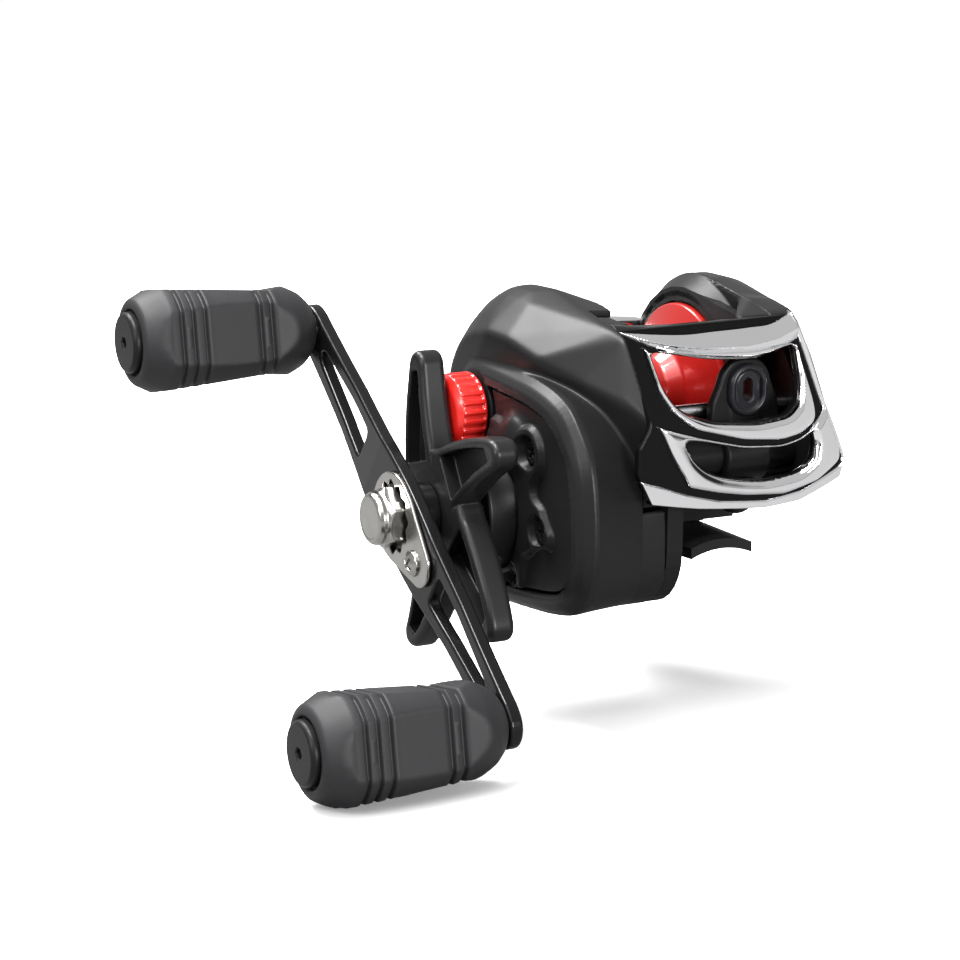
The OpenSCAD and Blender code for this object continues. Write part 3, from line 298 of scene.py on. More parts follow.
def fillet_or(a, b, r):
    """Either, with a rounded inner corner."""
    return np.maximum(r, np.minimum(a, b)) - np.sqrt(np.maximum(r - a, 0) ** 2 + np.maximum(r - b, 0) ** 2)


def between(T, lo, hi):
    return np.maximum(lo - T, T - hi)


def grid(lo, hi, h):
    axes = [np.arange(a, b + h, h, dtype=F32) for a, b in zip(lo, hi)]
    return axes, axes[0][:, None, None], axes[1][None, :, None], axes[2][None, None, :]


def blur(F, times=1):
    for _ in range(times):
        for ax in range(3):
            G = np.swapaxes(F, 0, ax)
            H = G.copy()
            H[1:-1] = 0.25 * G[:-2] + 0.5 * G[1:-1] + 0.25 * G[2:]
            F = np.swapaxes(H, 0, ax)
    return F


def sample(F, p):
    """The field between its grid points."""
    q = np.clip(p, 0, np.array(F.shape) - 1.001)
    i = q.astype(np.int32)
    f = (q - i).astype(F32)
    r = 0
    for a in (0, 1):
        for b in (0, 1):
            for c in (0, 1):
                w = 1
                for ax, far in enumerate((a, b, c)):
                    w = w * (f[:, ax] if far else 1 - f[:, ax])
                r = r + w * F[i[:, 0] + a, i[:, 1] + b, i[:, 2] + c]
    return r


def slope(F, p):
    """The way in which the field rises."""
    g = np.empty((len(p), 3), F32)
    for a in range(3):
        e = np.zeros(3, F32)
        e[a] = 0.5
        g[:, a] = sample(F, p + e) - sample(F, p - e)
    return g


def skin(name, F, axes, body, slot, replaces=(), place=None):
    """Closed surface where the field is zero. place moves points from the field's frame to the row's."""
    F = np.ascontiguousarray(F, F32)
    h = float(axes[0][1] - axes[0][0])
    for ax in range(3):
        G = np.swapaxes(F, 0, ax)
        G[0] = np.maximum(G[0], 0.01)
        G[-1] = np.maximum(G[-1], 0.01)
    s = F < 0
    n = F.shape
    total = sum(s[i:n[0] - 1 + i, j:n[1] - 1 + j, k:n[2] - 1 + k].astype(np.int8)
                for i in (0, 1) for j in (0, 1) for k in (0, 1))
    live = (total > 0) & (total < 8)
    index = np.full(live.shape, -1, np.int32)
    cells = np.argwhere(live).astype(np.int32)
    index[live] = np.arange(len(cells))
    acc = np.zeros((len(cells), 3), F32)
    cnt = np.zeros(len(cells), F32)
    for ax in range(3):
        e = np.zeros(3, np.int32)
        e[ax] = 1
        u, v = (ax + 1) % 3, (ax + 2) % 3
        for i in (0, 1):
            for j in (0, 1):
                o = np.zeros(3, np.int32)
                o[u], o[v] = i, j
                a = F[tuple((cells + o).T)]
                b = F[tuple((cells + o + e).T)]
                hit = (a < 0) != (b < 0)
                t = np.where(hit, a / np.where(hit, a - b, 1), 0)
                acc[hit] += (o + t[:, None] * e)[hit]
                cnt += hit
    p = cells + acc / np.maximum(cnt, 1)[:, None]
    for _ in range(2):
        g = slope(F, p)
        step = sample(F, p)[:, None] * g / np.maximum((g * g).sum(1), 1e-6)[:, None]
        p = p - np.clip(step, -0.5, 0.5)
    g = slope(F, p)
    quads = []
    for ax in range(3):
        u, v = (ax + 1) % 3, (ax + 2) % 3
        A = np.swapaxes(s, 0, ax)
        d = np.swapaxes(A[:-1] != A[1:], 0, ax)
        c = np.argwhere(d).astype(np.int32)
        c = c[(c[:, u] > 0) & (c[:, v] > 0) & (c[:, u] < n[u] - 1) & (c[:, v] < n[v] - 1)]
        eu, ev = np.zeros(3, np.int32), np.zeros(3, np.int32)
        eu[u], ev[v] = 1, 1
        q = np.stack([index[tuple((c + k).T)] for k in (0 * eu, -eu, -eu - ev, -ev)], 1)
        first = s[tuple(c.T)]
        q[~first] = q[~first][:, ::-1]
        quads.append(q)
    quads = np.concatenate(quads)
    quads = quads[(quads >= 0).all(1)]
    origin = np.array([a[0] for a in axes], F32)
    pos = origin + p * h
    if place is not None:
        ends = place(pos + g / np.maximum(np.linalg.norm(g, axis=1), 1e-9)[:, None] * 0.05)
        pos = place(pos)
        g = ends - pos
    g = g / np.maximum(np.linalg.norm(g, axis=1), 1e-9)[:, None]
    return piece(name, pos, quads, body, slot, replaces, g)


# ---------------------------------------------------------------- image points, in the photograph's frame
W, HT = 960, 960
L = max(W, HT)
# name: (x, y, pieces or () for all, which part of what shows of them)
POINTS = {
    "left": (117, None, (), "left"),
    "right": (843, None, (), "right"),
    "top": (None, 275, (), "top"),
    "bottom": (None, 813, (), "low"),
    "upper_knob_end": (128.7, 343.2, ("upper_knob_end",), "face"),
    "lower_knob_end": (303.7, 753.7, ("lower_knob_end",), "face"),
    "nut_face": (367.7, 518, ("nut_body",), "face"),
    "retainer_screw": (412.5, 563.6, ("retainer_head",), "middle"),
    "crank_low_end": (526.6, 725, ("crank_plate",), "right"),
    "star_tip_top": (430, 354, ("star_arms",), "top"),
    "star_tip_low": (415, 644, ("star_arms",), "low"),
    "control_knob": (462, 409, ("control_grip",), "middle"),
    "screw_upper": (531, 452, ("cover_screw_1",), "middle"),
    "screw_middle": (535, 532, ("cover_screw_2",), "middle"),
    "insert": (748.5, 390.5, ("insert_ring",), "middle"),
    "window_left": (637, 350, ("window_frame",), "left"),
    "foot_tip": (752, 543, ("reel_foot",), "right"),
}
bpy.context.view_layer.update()
eye = camera.matrix_world.translation.copy()
camera_turn = camera.matrix_world.to_3x3()


def tree_of(names):
    """BVHTrees of finished meshes where they are placed, and their vertices."""
    bpy.context.view_layer.update()
    deps = bpy.context.evaluated_depsgraph_get()
    trees, verts = [], []
    for n in names:
        ob = bpy.data.objects[n]
        trees.append(BVHTree.FromObject(ob, deps))
        mesh = ob.evaluated_get(deps).to_mesh()
        verts.append(np.array([v.co for v in mesh.vertices]))
        ob.evaluated_get(deps).to_mesh_clear()
    return trees, np.concatenate(verts)


def ray_place(x, y, names):
    """Where a point of the photograph meets what carries the piece; a miss takes the place nearest the ray."""
    d = (camera_turn @ Vector((x - W / 2 + camera_data.shift_x * L, HT / 2 - y + camera_data.shift_y * L,
                               -L * camera_data.lens / camera_data.sensor_width))).normalized()
    trees, verts = tree_of(names)
    hits = [h[0] for h in (t.ray_cast(eye, d) for t in trees) if h[0] is not None]
    if hits:
        return min(hits, key=lambda h: (h - eye).length)
    away = verts - np.array(eye)
    along = away @ np.array(d)
    return Vector(verts[np.argmin((away ** 2).sum(1) - along ** 2)])


def seen_at(p):
    """Where places show in the photograph's frame."""
    q = (np.atleast_2d(p) - np.array(eye)) @ np.array(camera_turn)
    k = L * camera_data.lens / camera_data.sensor_width / -q[:, 2]
    return np.stack([W / 2 + q[:, 0] * k - camera_data.shift_x * L,
                     HT / 2 - q[:, 1] * k + camera_data.shift_y * L], 1)


def shown(verts, trees):
    """The vertices that nothing stands in front of."""
    keep = []
    for v in verts:
        way = Vector(v) - eye
        keep.append(all(t.ray_cast(eye, way.normalized(), way.length - 0.0004)[0] is None for t in trees))
    return verts[np.array(keep, bool)]


def write_points():
    """Finds where each thing shows in the photograph's frame; the places found are neither kept nor shown."""
    names = [o.name for o in scene.objects if o.type == "MESH" and not o.hide_render and o.name != "floor"]
    trees, every = tree_of(names)
    for name, (x, y, pieces, part) in POINTS.items():
        verts = every if not pieces else tree_of(pieces)[1]
        if part == "face":
            verts = verts[verts[:, 0] < verts[:, 0].min() + 0.0003]
        at = seen_at(verts)
        way, axis = {"left": (1, 0), "right": (-1, 0), "top": (1, 1), "low": (-1, 1)}.get(part, (0, 0))
        if way:
            order = np.argsort(way * at[:, axis])[:4000]
            for i in range(0, len(order), 40):
                left = shown(verts[order[i:i + 40]], trees)
                if len(left):
                    break
            spot = seen_at(left)
            spot = spot[np.argmin(way * spot[:, axis])]
        else:
            left = shown(verts[::max(1, len(verts) // 1500)], trees)
            spot = seen_at(left if len(left) else verts)
            spot = (spot.min(0) + spot.max(0)) / 2


# ---------------------------------------------------------------- knobs
KNOB_IN = 36.9
KNOB_ARM = 47.5
GROOVE = [(-0.55, 0), (-0.42, 0.12), (-0.3, 0.7), (0, 0.9), (0.3, 0.7), (0.42, 0.12), (0.55, 0)]


def grooves(*places):
    """Rings cut round the grip, from (distance along it, radius) pairs."""
    return [(at + along, r - deep) for at, r in places for along, deep in GROOVE]


knob_line = soften([(0, 2.4), (0, 4.9), (2.2, 7.0), (5, 8.3), (9.1, 9.2)], 0.8, 2)[:-1].tolist()
knob_line += grooves((9.6, 9.25), (11.9, 9.5)) + [(15, 9.7), (18, 9.9), (22, 10.05)]
knob_line += grooves((23.0, 10.1), (25.3, 10.15), (27.5, 10.2))
knob_line += soften([(28.4, 10.25), (29.6, 10.2), (32.4, 8.7), (34.0, 7.9), (34.5, 7.0), (34.5, 6.1), (33.6, 5.9),
                     (33.6, 2.4)], 0.45, 3).tolist()


PLAIN_GRIP = ([0, 9.2, 15, 18, 22, 28.2, 29.6, 32.4, 34], [5, 9.25, 9.7, 9.9, 10.05, 10.25, 10.2, 8.7, 7.9])


def knob_flats(s, r, a):
    """Four long flats that lean outwards along the grip and leave both its ends round."""
    if s > 33.4 or s < 3:
        return np.full(len(a), r)
    d = 6.85 + 0.078 * s
    dip = r - np.interp(s, *PLAIN_GRIP)
    res = np.full(len(a), r)
    for k in range(4):
        c = np.cos(a - math.radians(170 + 90 * k))
        flat = np.where(c > 0.3, (d + dip) / np.maximum(c, 0.3), 99)
        res = np.minimum(res, flat)
    return res


for name, side in (("upper_knob", 1), ("lower_knob", -1)):
    centre = (MAIN[0] + side * KNOB_ARM * U[0], MAIN[1] + side * KNOB_ARM * U[1])
    dense = []
    for (s0, r0), (s1, r1) in zip(knob_line, knob_line[1:]):
        k = max(1, int(math.hypot(s1 - s0, r1 - r0) / 0.8))
        dense += [(s0 + (s1 - s0) * i / k, r0 + (r1 - r0) * i / k) for i in range(k)]
    dense.append(knob_line[-1])
    lathe(name + "_grip", dense, out(KNOB_IN), centre, name, "grip_rubber", (name,), n=144, shape=knob_flats)
    cap_line = soften([(33.0, 2.2), (33.0, 5.6), (35.2, 5.6), (35.8, 5.1), (35.8, 1.1), (34.4, 0.95), (34.2, 0.3)],
                      0.3, 3)

    def hex_hole(s, r, a):
        if r > 1.6 or s < 34.1:
            return np.full(len(a), r)
        return r * 0.93 / np.cos((a % (math.pi / 3)) - math.pi / 6)

    lathe(name + "_end", cap_line, out(KNOB_IN), centre, name, "frame_black", (name + "_cap",), n=72,
          shape=hex_hole)

# ---------------------------------------------------------------- crank, nut and retainer
STAR_IN, STAR_OUT = 24.7, 30.1
CRANK_IN, CRANK_T = 34.5, 2.5


def on_crank(p):
    """From (along the crank, across it, distance out from the wall) to the row's frame."""
    q = np.empty_like(p)
    q[:, 0] = -(WALL_OUT + p[:, 2])
    q[:, 1] = MAIN[0] + p[:, 0] * U[0] + p[:, 1] * V[0]
    q[:, 2] = MAIN[1] + p[:, 0] * U[1] + p[:, 1] * V[1]
    return q


CRANK_EDGE = [(52.0, 0), (50.6, 3.1), (47.5, 4.3), (43.5, 4.5), (34, 5.0), (25, 5.7), (16, 6.6), (9, 7.4), (0, 7.9)]
crank_half = CRANK_EDGE[:-1]
crank_loop = ([(a, b) for a, b in CRANK_EDGE] + [(-a, b) for a, b in reversed(crank_half)]
              + [(-a, -b) for a, b in crank_half[1:]] + [(a, -b) for a, b in reversed(CRANK_EDGE[1:])])
axes, A, B, C = grid((-53.5, -9.5, CRANK_IN - 1.2), (53.5, 9.5, CRANK_IN + CRANK_T + 0.8), 0.22)
plan = outline_distance(curve(crank_loop, 4), A[:, :, 0], B[:, :, 0])[:, :, None]
slot = soften([(17.6, 3.4), (17.6, -3.4), (24, -3.1), (39.6, -1.5), (41.2, 0), (39.6, 1.5), (24, 3.1)],
              1.3, 4, True)
for way in (1, -1):
    hole = outline_distance(slot * way, A[:, :, 0], B[:, :, 0])[:, :, None]
    plan = np.maximum(plan, -hole)
dish = 0.6 * np.clip((np.abs(A) - 12) / 14, 0, 1)
crank = fillet_and(plan, between(C + dish, CRANK_IN, CRANK_IN + CRANK_T), 0.55)
skin("crank_plate", crank, axes, "handle", "crank_black", ("crank",), on_crank)
sleeve = soften([(STAR_OUT + 0.5, 3.1), (STAR_OUT + 0.5, 5.4), (CRANK_IN - 0.8, 5.6), (CRANK_IN + 0.2, 6.2)],
                0.3, 2)
lathe("crank_sleeve", sleeve, -WALL_OUT, MAIN, "handle", "crank_black", n=64)

NUT_IN = CRANK_IN + CRANK_T
axes, A, B, C = grid((-7, -7, NUT_IN - 0.3), (7, 7, NUT_IN + 5.6), 0.13)
R = np.sqrt(A * A + B * B)
hexa = np.full(R.shape, -9, F32)
for k in range(6):
    t = math.radians(30 + 60 * k)
    hexa = np.maximum(hexa, A * math.cos(t) + B * math.sin(t) - 4.95)
nut = np.maximum(hexa, R - 5.6 + np.maximum(C - (NUT_IN + 2.5), 0) * 0.9)
nut = np.maximum(nut, between(C, NUT_IN, NUT_IN + 3.5))
stem = fillet_and(R - 4.75 + np.maximum(C - (NUT_IN + 4.3), 0) * 0.5, between(C, NUT_IN, NUT_IN + 5.2), 0.45)
nut = fillet_or(nut, stem, 0.25)
nut = np.maximum(nut, -np.maximum(R - 3.6, (NUT_IN + 5.08) - C))
skin("nut_body", nut, axes, "handle", "nickel", ("handle_nut",), on_crank)

axes, A, B, C = grid((-17.5, -9.5, NUT_IN - 0.3), (9.5, 9.5, NUT_IN + 1.4), 0.14)
drop = curve([(8.0, 0), (6.6, 4.6), (2.6, 7.6), (-2.4, 7.4), (-7.4, 5.6), (-11.6, 3.9), (-14.8, 2.4), (-16.2, -0.6),
              (-14.9, -3.9), (-11.8, -5.2), (-7.4, -6.6), (-2.8, -7.9), (2.6, -7.7), (6.6, -4.6)], 8)
plate = outline_distance(drop, A[:, :, 0], B[:, :, 0])[:, :, None]
turn = np.arctan2(B, A)
teeth = 6.15 + 0.55 * (2 / math.pi) * np.arcsin(np.sin(12 * turn))
plate = np.maximum(plate, teeth - np.sqrt(A * A + B * B))
plate = fillet_and(plate, between(C, NUT_IN, NUT_IN + 0.85), 0.25)
skin("retainer_plate", blur(plate), axes, "handle", "nickel", ("nut_retainer",), on_crank)

hit = ray_place(*POINTS["retainer_screw"][:2], ["retainer_plate", "crank_plate"]) / MM
from_main = np.array((hit[1] - MAIN[0], hit[2] - MAIN[1]))
SCREW = (float(from_main @ U), float(from_main @ V))
axes, A, B, C = grid((SCREW[0] - 4, SCREW[1] - 4, NUT_IN - 0.2), (SCREW[0] + 4, SCREW[1] + 4, NUT_IN + 2.6), 0.11)
rr = disc(A, B, SCREW, 0)
head = np.maximum(np.sqrt(rr ** 2 + (C - (NUT_IN - 1.3)) ** 2) - 3.45, np.maximum(rr - 2.35, NUT_IN + 0.5 - C))
cross = np.minimum(np.maximum(np.abs(A - SCREW[0]) - 0.32, np.abs(B - SCREW[1]) - 1.35),
                   np.maximum(np.abs(B - SCREW[1]) - 0.32, np.abs(A - SCREW[0]) - 1.35))
head = np.maximum(head, -np.maximum(cross, NUT_IN + 1.2 - C))
skin("retainer_head", blur(head), axes, "handle", "nickel", ("retainer_screw",), on_crank)

# ---------------------------------------------------------------- star drag
TURN = 15.0
ARM = [(5, 6.2), (8, 3.6), (12, 2.7), (19, 2.25), (24, 2.4), (26.6, 2.5), (28.3, 1.4), (28.7, -0.4), (27.6, -2.3),
       (23.8, -4.3), (19, -6.2), (13.5, -7.8), (9, -8.6), (5, -8.2)]
axes, X, Y, Z = grid((out(STAR_OUT + 0.6), MAIN[0] - 30, MAIN[1] - 30),
                     (out(STAR_IN - 0.6), MAIN[0] + 30, MAIN[1] + 30), 0.3)
Y2, Z2 = (Y - MAIN[0])[0], (Z - MAIN[1])[0]
arms = np.full((Y2.shape[0], Z2.shape[1]), 99, F32)
pocket = arms.copy()
line = curve(ARM, 5)
for k in range(5):
    t = math.radians(TURN + 72 * k)
    up, side = (math.sin(t), math.cos(t)), (math.cos(t), -math.sin(t))
    along = Y2 * up[0] + Z2 * up[1]
    across = -(Y2 * side[0] + Z2 * side[1])
    one = outline_distance(line, along, across)
    arms = np.minimum(arms, one)
    hollow = np.maximum(one + 1.75, np.maximum(9.2 - along, along - 25.2))
    pocket = np.minimum(pocket, hollow)
arms, pocket = arms[None], pocket[None]
R = np.sqrt((Y - MAIN[0]) ** 2 + (Z - MAIN[1]) ** 2)
front = out(30.0 + 0.5 * np.clip(1 - (R / 24) ** 2, 0, 1))
back = out(25.0)
body_d = fillet_and(fillet_or(arms, R - 8.6, 1.6), np.maximum(front - X, X - back), 1.2)
hub = fillet_and(R - 8.4, between(X, out(STAR_OUT), out(STAR_IN)), 0.8)
star = fillet_or(body_d, hub, 0.6)
star = np.maximum(star, -fillet_and(pocket, X - (front + 2.9), 0.4))
star = np.maximum(star, 3.15 - R)
skin("star_arms", star, axes, "star", "star_black", ("star_drag",))

# ---------------------------------------------------------------- cast-control knob (its collar is made with the bearing plate)
CONTROL_IN, CONTROL_LONG = 18.5, 5.94


def ribs(s, r, a):
    if 0.7 < s < 4.9 and r > 6:
        return r - 0.34 * np.clip(np.cos(a * 24) * 1.6 + 0.5, 0, 1)
    return np.full(len(a), r)


control = soften([(0, 3.6), (0, 6.5), (0.5, 6.9), (4.9, 6.9), (5.2, 6.75), (6.0, 5.9), (6.2, 5.4), (6.2, 1.0)],
                 0.25, 3)
control = [(s * CONTROL_LONG / 6.2, r) for s, r in control]
full = []
for (s0, r0), (s1, r1) in zip(control, control[1:]):
    k = max(1, int(abs(s1 - s0) / 0.35))
    full += [(s0 + (s1 - s0) * i / k, r0 + (r1 - r0) * i / k) for i in range(k)]
full.append(control[-1])
lathe("control_grip", full, out(CONTROL_IN), SPOOL, "control_knob", "knob_red", ("cast_control_knob",), n=288,
      shape=ribs)

# ---------------------------------------------------------------- handle-side cover
def hull_distance(points, X, Y, Z):
    """Distance to the hull of some points, true at its faces."""
    bm = bmesh.new()
    for p in points:
        bm.verts.new(p)
    bmesh.ops.convex_hull(bm, input=bm.verts[:])
    bm.normal_update()
    planes = set()
    for f in bm.faces:
        n = f.normal
        planes.add((round(n.x, 3), round(n.y, 3), round(n.z, 3), round(n.dot(f.verts[0].co), 2)))
    bm.free()
    F = np.full(np.broadcast(X, Y, Z).shape, -99, F32)
    for a, b, c, d in planes:
        np.maximum(F, a * X + b * Y + c * Z - d, out=F)
    return F


def arc(x, r, lo, hi, n=7):
    t = np.radians(np.linspace(lo, hi, n))
    return [(x, SPOOL[0] + r * math.cos(k), SPOOL[1] + r * math.sin(k)) for k in t]


WALL = 1.3
G_WALL = [(2, 32.8), (-10, 32.4), (-20, 31.6), (-28.5, 29.4), (-33.9, 25), (-37.3, 20), (-38.9, 12.5), (-39, 3),
          (-37, -3), (-32.4, -6.8), (-25, -8.6), (-15, -9.7), (-5, -10.3), (4, -9.3), (11, -4.5), (15, 2.5),
          (15.8, 9), (13.8, 17), (10.5, 26), (7.5, 31)]
G_SEAM = [(2, 32), (-10, 31.5), (-20, 30), (-27, 27), (-31, 23.5), (-33.8, 18.5), (-35.5, 11), (-35.6, 0),
          (-33.5, -4.2), (-29.5, -7.0), (-24, -8.4), (-15, -9.6), (-5, -10.2), (4, -9.3), (11, -4.5), (15, 2.5),
          (15.8, 9), (13.8, 17), (10.5, 26), (7.5, 31)]
RIM_OUT = -32.7
axes, X, Y, Z = grid((-33.6, -44, -12.4), (-12.6, 19.4, 47.4), 0.32)
wall_line = outline_distance(curve(G_WALL, 5), Y[0], Z[0])
seam_line = outline_distance(curve(G_SEAM, 5), Y[0], Z[0])
t = np.clip((-19 - X) / 10, 0, 1)
inset = np.interp(X, [-32.9, -32.7, -32.4, -31.5, -30, -12], [4.6, 3.9, 2.6, 1.2, 0, 0]).astype(F32)
gear_side = (seam_line[None] * (1 - t) + wall_line[None] * t) + inset
gear_side = np.maximum(gear_side, np.maximum(RIM_OUT - X, X + 14.1))
shape_points = [p for x, r in ((-14.1, 18.5), (-16.5, 20.6), (-19.5, 21.8), (-22, 21.4), (-24.5, 20), (-27.5, 17.4),
                               (-30.8, 13.8)) for p in arc(x, r, -40, 96, 13)]
shape_points += arc(-9, 18.3, -40, 96, 13) + [(-9, -22, 41), (-9, -11.5, 41.2), (-9, -36, 25), (-9, -30, 14)]
shape_points += [(-25, 7.2, 41.7), (-24.5, -4.2, 42.9), (-21, -12, 41.7), (-19.5, -26.1, 40.9), (-31, 0.2, 37.8),
                 (-30.5, -7, 37.4), (-29.5, -16.4, 35.2), (-26, -25, 32.6), (-21, -33.5, 30.4), (-19, -33.6, 21.2),
                 (-20, 4.3, 44.6), (-19, -3.4, 45.2), (-16, -4.6, 43), (-14.1, -11.5, 41.4), (-14.1, -22.2, 41.1),
                 (-19, -29.1, 39.9), (-19, -37.9, 27.1), (-19, -34.4, 16.8), (-14.1, -36, 25),
                 (-14.1, -30, 14), (-24, -22, 26), (-27, -12, 28)]
dome = blur(hull_distance(shape_points, X, Y, Z), 8)
cover = fillet_or(gear_side, dome, 0.8)
shell = np.maximum(cover, -(cover + WALL))
shell = np.maximum(shell, X + 14.2)
for centre, r, lo, hi in ((MAIN, 16.1, -27, -18.4), (SPOOL, 17.5, -16.4, -12)):
    shell = np.maximum(shell, -np.maximum(disc(Y, Z, centre, r), between(X, lo, hi)))
shield_room = np.maximum(np.maximum(-18.6 - X, Y + 15.8), 10.4 - Z)
shell = np.maximum(shell, -shield_room)
edge = (wall_line + 3.95)[None]
shell = np.maximum(shell, -np.maximum(edge, X + 31.5))
shell = np.maximum(shell, -np.maximum(np.maximum(disc(Y, Z, SPOOL, 8.4), edge), X + 30.4))
shell = np.maximum(shell, -np.maximum(disc(Y, Z, SPOOL, 7.3), X + 32.1))
skin("handle_side_shell", shell, axes, "frame", "case_black", ("handle_side_cover",))

# ---------------------------------------------------------------- bearing plate, boss and cover screws
SCREWS = [(-20.2, 19.6), (-23.8, 6.2), (-13.8, -4.1)]
axes, X, Y, Z = grid((-39, -36.6, -10.2), (-29.2, 13.4, 33.4), 0.26)
line = outline_distance(curve(G_WALL, 5), Y[0], Z[0])[None]
R = disc(Y, Z, MAIN, 0)
raised = disc(Y, Z, (-7.5, 9.5), 14.2)
for p in SCREWS:
    raised = fillet_or(raised, disc(Y, Z, p, 4.6), 3.5)
for c, r in (((-33, 14), 8.6), ((-25.8, -2.6), 6.6), ((-4.5, -10.6), 6.4), ((9, -3.4), 6)):
    raised = -fillet_or(-raised, disc(Y, Z, c, r), 0.5)
level = -32.2 - 1.15 * np.clip(0.5 - raised / 0.9, 0, 1)
plate = fillet_and(line + 4.4, between(X, level, np.float32(-31)), 0.3)
a, b = np.array((-3, 14), F32), np.array((-14.5, 19.8), F32)
e = b - a
s = np.clip(((Y - a[0]) * e[0] + (Z - a[1]) * e[1]) / float(e @ e), 0, 1)
ridge = np.sqrt((Y - a[0] - s * e[0]) ** 2 + (Z - a[1] - s * e[1]) ** 2)
ridge = 2.8 * (np.sqrt((ridge / 5.5) ** 2 + ((X + 32.2) / 2.4) ** 2) - 1)
plate = fillet_or(plate, np.maximum(ridge, line + 4.4), 0.8)
cone = R - 11.3 - 1.6 * np.clip((X + 36.5) / 4, 0, 1) ** 2 * np.clip((Z - MAIN[1]) / 9, 0, 1)
boss = fillet_and(cone, between(X, -38.2, -31.5), 0.5)
trench = np.maximum(np.abs(R - 11.9) - 0.55, between(X, -34.4, -31.9))
plate = np.maximum(plate, -np.maximum(trench, (Z - MAIN[1]) * 0.8 - 7.5))
plate = np.minimum(plate, boss)
for p in SCREWS:
    way = math.atan2(p[1] - MAIN[1], p[0] - MAIN[0])
    u = (Y - p[0]) * math.cos(way) + (Z - p[1]) * math.sin(way)
    v = -(Y - p[0]) * math.sin(way) + (Z - p[1]) * math.cos(way)
    pit = np.sqrt(u ** 2 + v ** 2) - 2.35
    plate = -fillet_or(-plate, np.maximum(pit - (-31.9 - X) * 0.5, X + 31.4), 0.3)
well = disc(Y, Z, SPOOL, 0)
plate = fillet_or(plate, np.maximum(np.maximum(well - 9.4, line + 2.4), between(X, -31.2, -29.6)), 0.2)
plate = np.maximum(plate, -np.maximum(well - 8.4, X + 30.4))
plate = np.maximum(plate, 3.6 - well)
plate = np.maximum(plate, 6.0 - R)
skin("bearing_face", plate, axes, "frame", "case_black", ("bearing_plate",))

SEEN_SCREWS = ("screw_upper", "screw_middle")
for k, p in enumerate(SCREWS):
    if k < len(SEEN_SCREWS):
        hit = ray_place(*POINTS[SEEN_SCREWS[k]][:2], ["bearing_face"]) / MM
        p = (0.5 * (p[0] + hit[1]), 0.5 * (p[1] + hit[2])) if math.dist(p, hit[1:]) < 1.0 else p
    axes, X, Y, Z = grid((-32.6, p[0] - 2.6, p[1] - 2.6), (-31, p[0] + 2.6, p[1] + 2.6), 0.13)
    r = disc(Y, Z, p, 0)
    head = fillet_and(r - 2.0, between(X + 0.05 * r * r, -32.3, -31.2), 0.2)
    u = (Y - p[0]) * math.cos(0.5 + k) + (Z - p[1]) * math.sin(0.5 + k)
    v = -(Y - p[0]) * math.sin(0.5 + k) + (Z - p[1]) * math.cos(0.5 + k)
    cut = np.minimum(np.maximum(np.abs(u) - 0.26, np.abs(v) - 1.2), np.maximum(np.abs(v) - 0.26, np.abs(u) - 1.2))
    head = np.maximum(head, -np.maximum(cut, X + 31.7))
    skin("cover_screw_%d" % (k + 1), head, axes, "frame", "frame_black", ("cover_screws",))

thread = []
for k in range(5):
    s0 = -0.6 + 0.66 * k
    thread += [(s0, 4.75), (s0 + 0.2, 5.25), (s0 + 0.4, 5.25), (s0 + 0.6, 4.75)]
collar = [(-2.0, 3.6), (-2.0, 6.9), (-0.3, 7.0), (0.0, 6.8), (0.05, 5.3)] + thread[2:] + [(2.75, 4.6), (2.75, 3.6)]
lathe("collar_thread", collar, out(18.1), SPOOL, "frame", "frame_black", ("control_collar",), n=96, ends=False)

# ---------------------------------------------------------------- front shield and its bright trims
def smooth_line(pairs, width=1.6):
    z, y = np.array(pairs, float).T
    t = np.arange(z[0] - 2, z[-1] + 2, 0.2)
    v = np.interp(t, z, y)
    k = np.hanning(int(width / 0.2) * 2 + 3)
    v = np.convolve(np.pad(v, len(k) // 2, mode="edge"), k / k.sum(), "valid")
    return t, v


HANDLE_LINE = smooth_line([(10, -37.6), (12.6, -38.6), (18, -41), (26, -40.2), (33, -33), (40.4, -25.4), (43, -23)])
PALM_LINE = smooth_line([(10, -37.6), (12.6, -38.9), (17.7, -40.7), (22.9, -36.9), (28.1, -32.9), (35, -28.4),
                         (40.4, -24.6), (43, -22.4)])


def shield_y(x, z):
    m = np.clip((x - 4) / 14.5, 0, None) ** 1.5
    y = np.interp(z, *HANDLE_LINE) * (1 - m) + np.interp(z, *PALM_LINE) * m
    return y - 4 * (1 - (x / 18.5) ** 2) * np.clip((40.4 - z) / 18.4, 0, 1)


def on_shield(p):
    """From (x, z, distance in front of the shield) to the row's frame."""
    q = np.empty_like(p)
    q[:, 0], q[:, 2] = p[:, 0], p[:, 1]
    q[:, 1] = shield_y(p[:, 0], p[:, 1]) - p[:, 2]
    return q


UPPER_WINDOW = [(-14.2, 37.4), (-15.0, 31.5), (-13.8, 28.4), (-9.6, 26.7), (-1, 26), (6, 26.6), (10.8, 28.2),
                (13.8, 31.5), (15.8, 36.4), (12.8, 36), (9.3, 35.5), (5, 35.1), (-3.6, 35.6), (-8.6, 36.5)]
LOWER_WINDOW = [(-14.8, 24.0), (-13.3, 20.6), (-11.5, 18.8), (-8.8, 17.4), (-4.4, 16.5), (0.5, 16), (7.4, 16.7),
                (10.6, 18.8), (11.9, 21.5), (11.7, 23.5), (7.8, 22.5), (2.9, 21.9), (-4.5, 22.3), (-11.8, 23.8)]
upper_line = soften(UPPER_WINDOW, 1.6, 4, True)
lower_line = soften(LOWER_WINDOW, 1.4, 4, True)
H = 0.16
axes, A, B, C = grid((-22.6, 10.4, -2.2), (19.4, 42.2, 1.9), H)
A2, B2 = A[:, :, 0], B[:, :, 0]
upper_hole = outline_distance(upper_line, A2, B2)
lower_hole = outline_distance(lower_line, A2, B2)
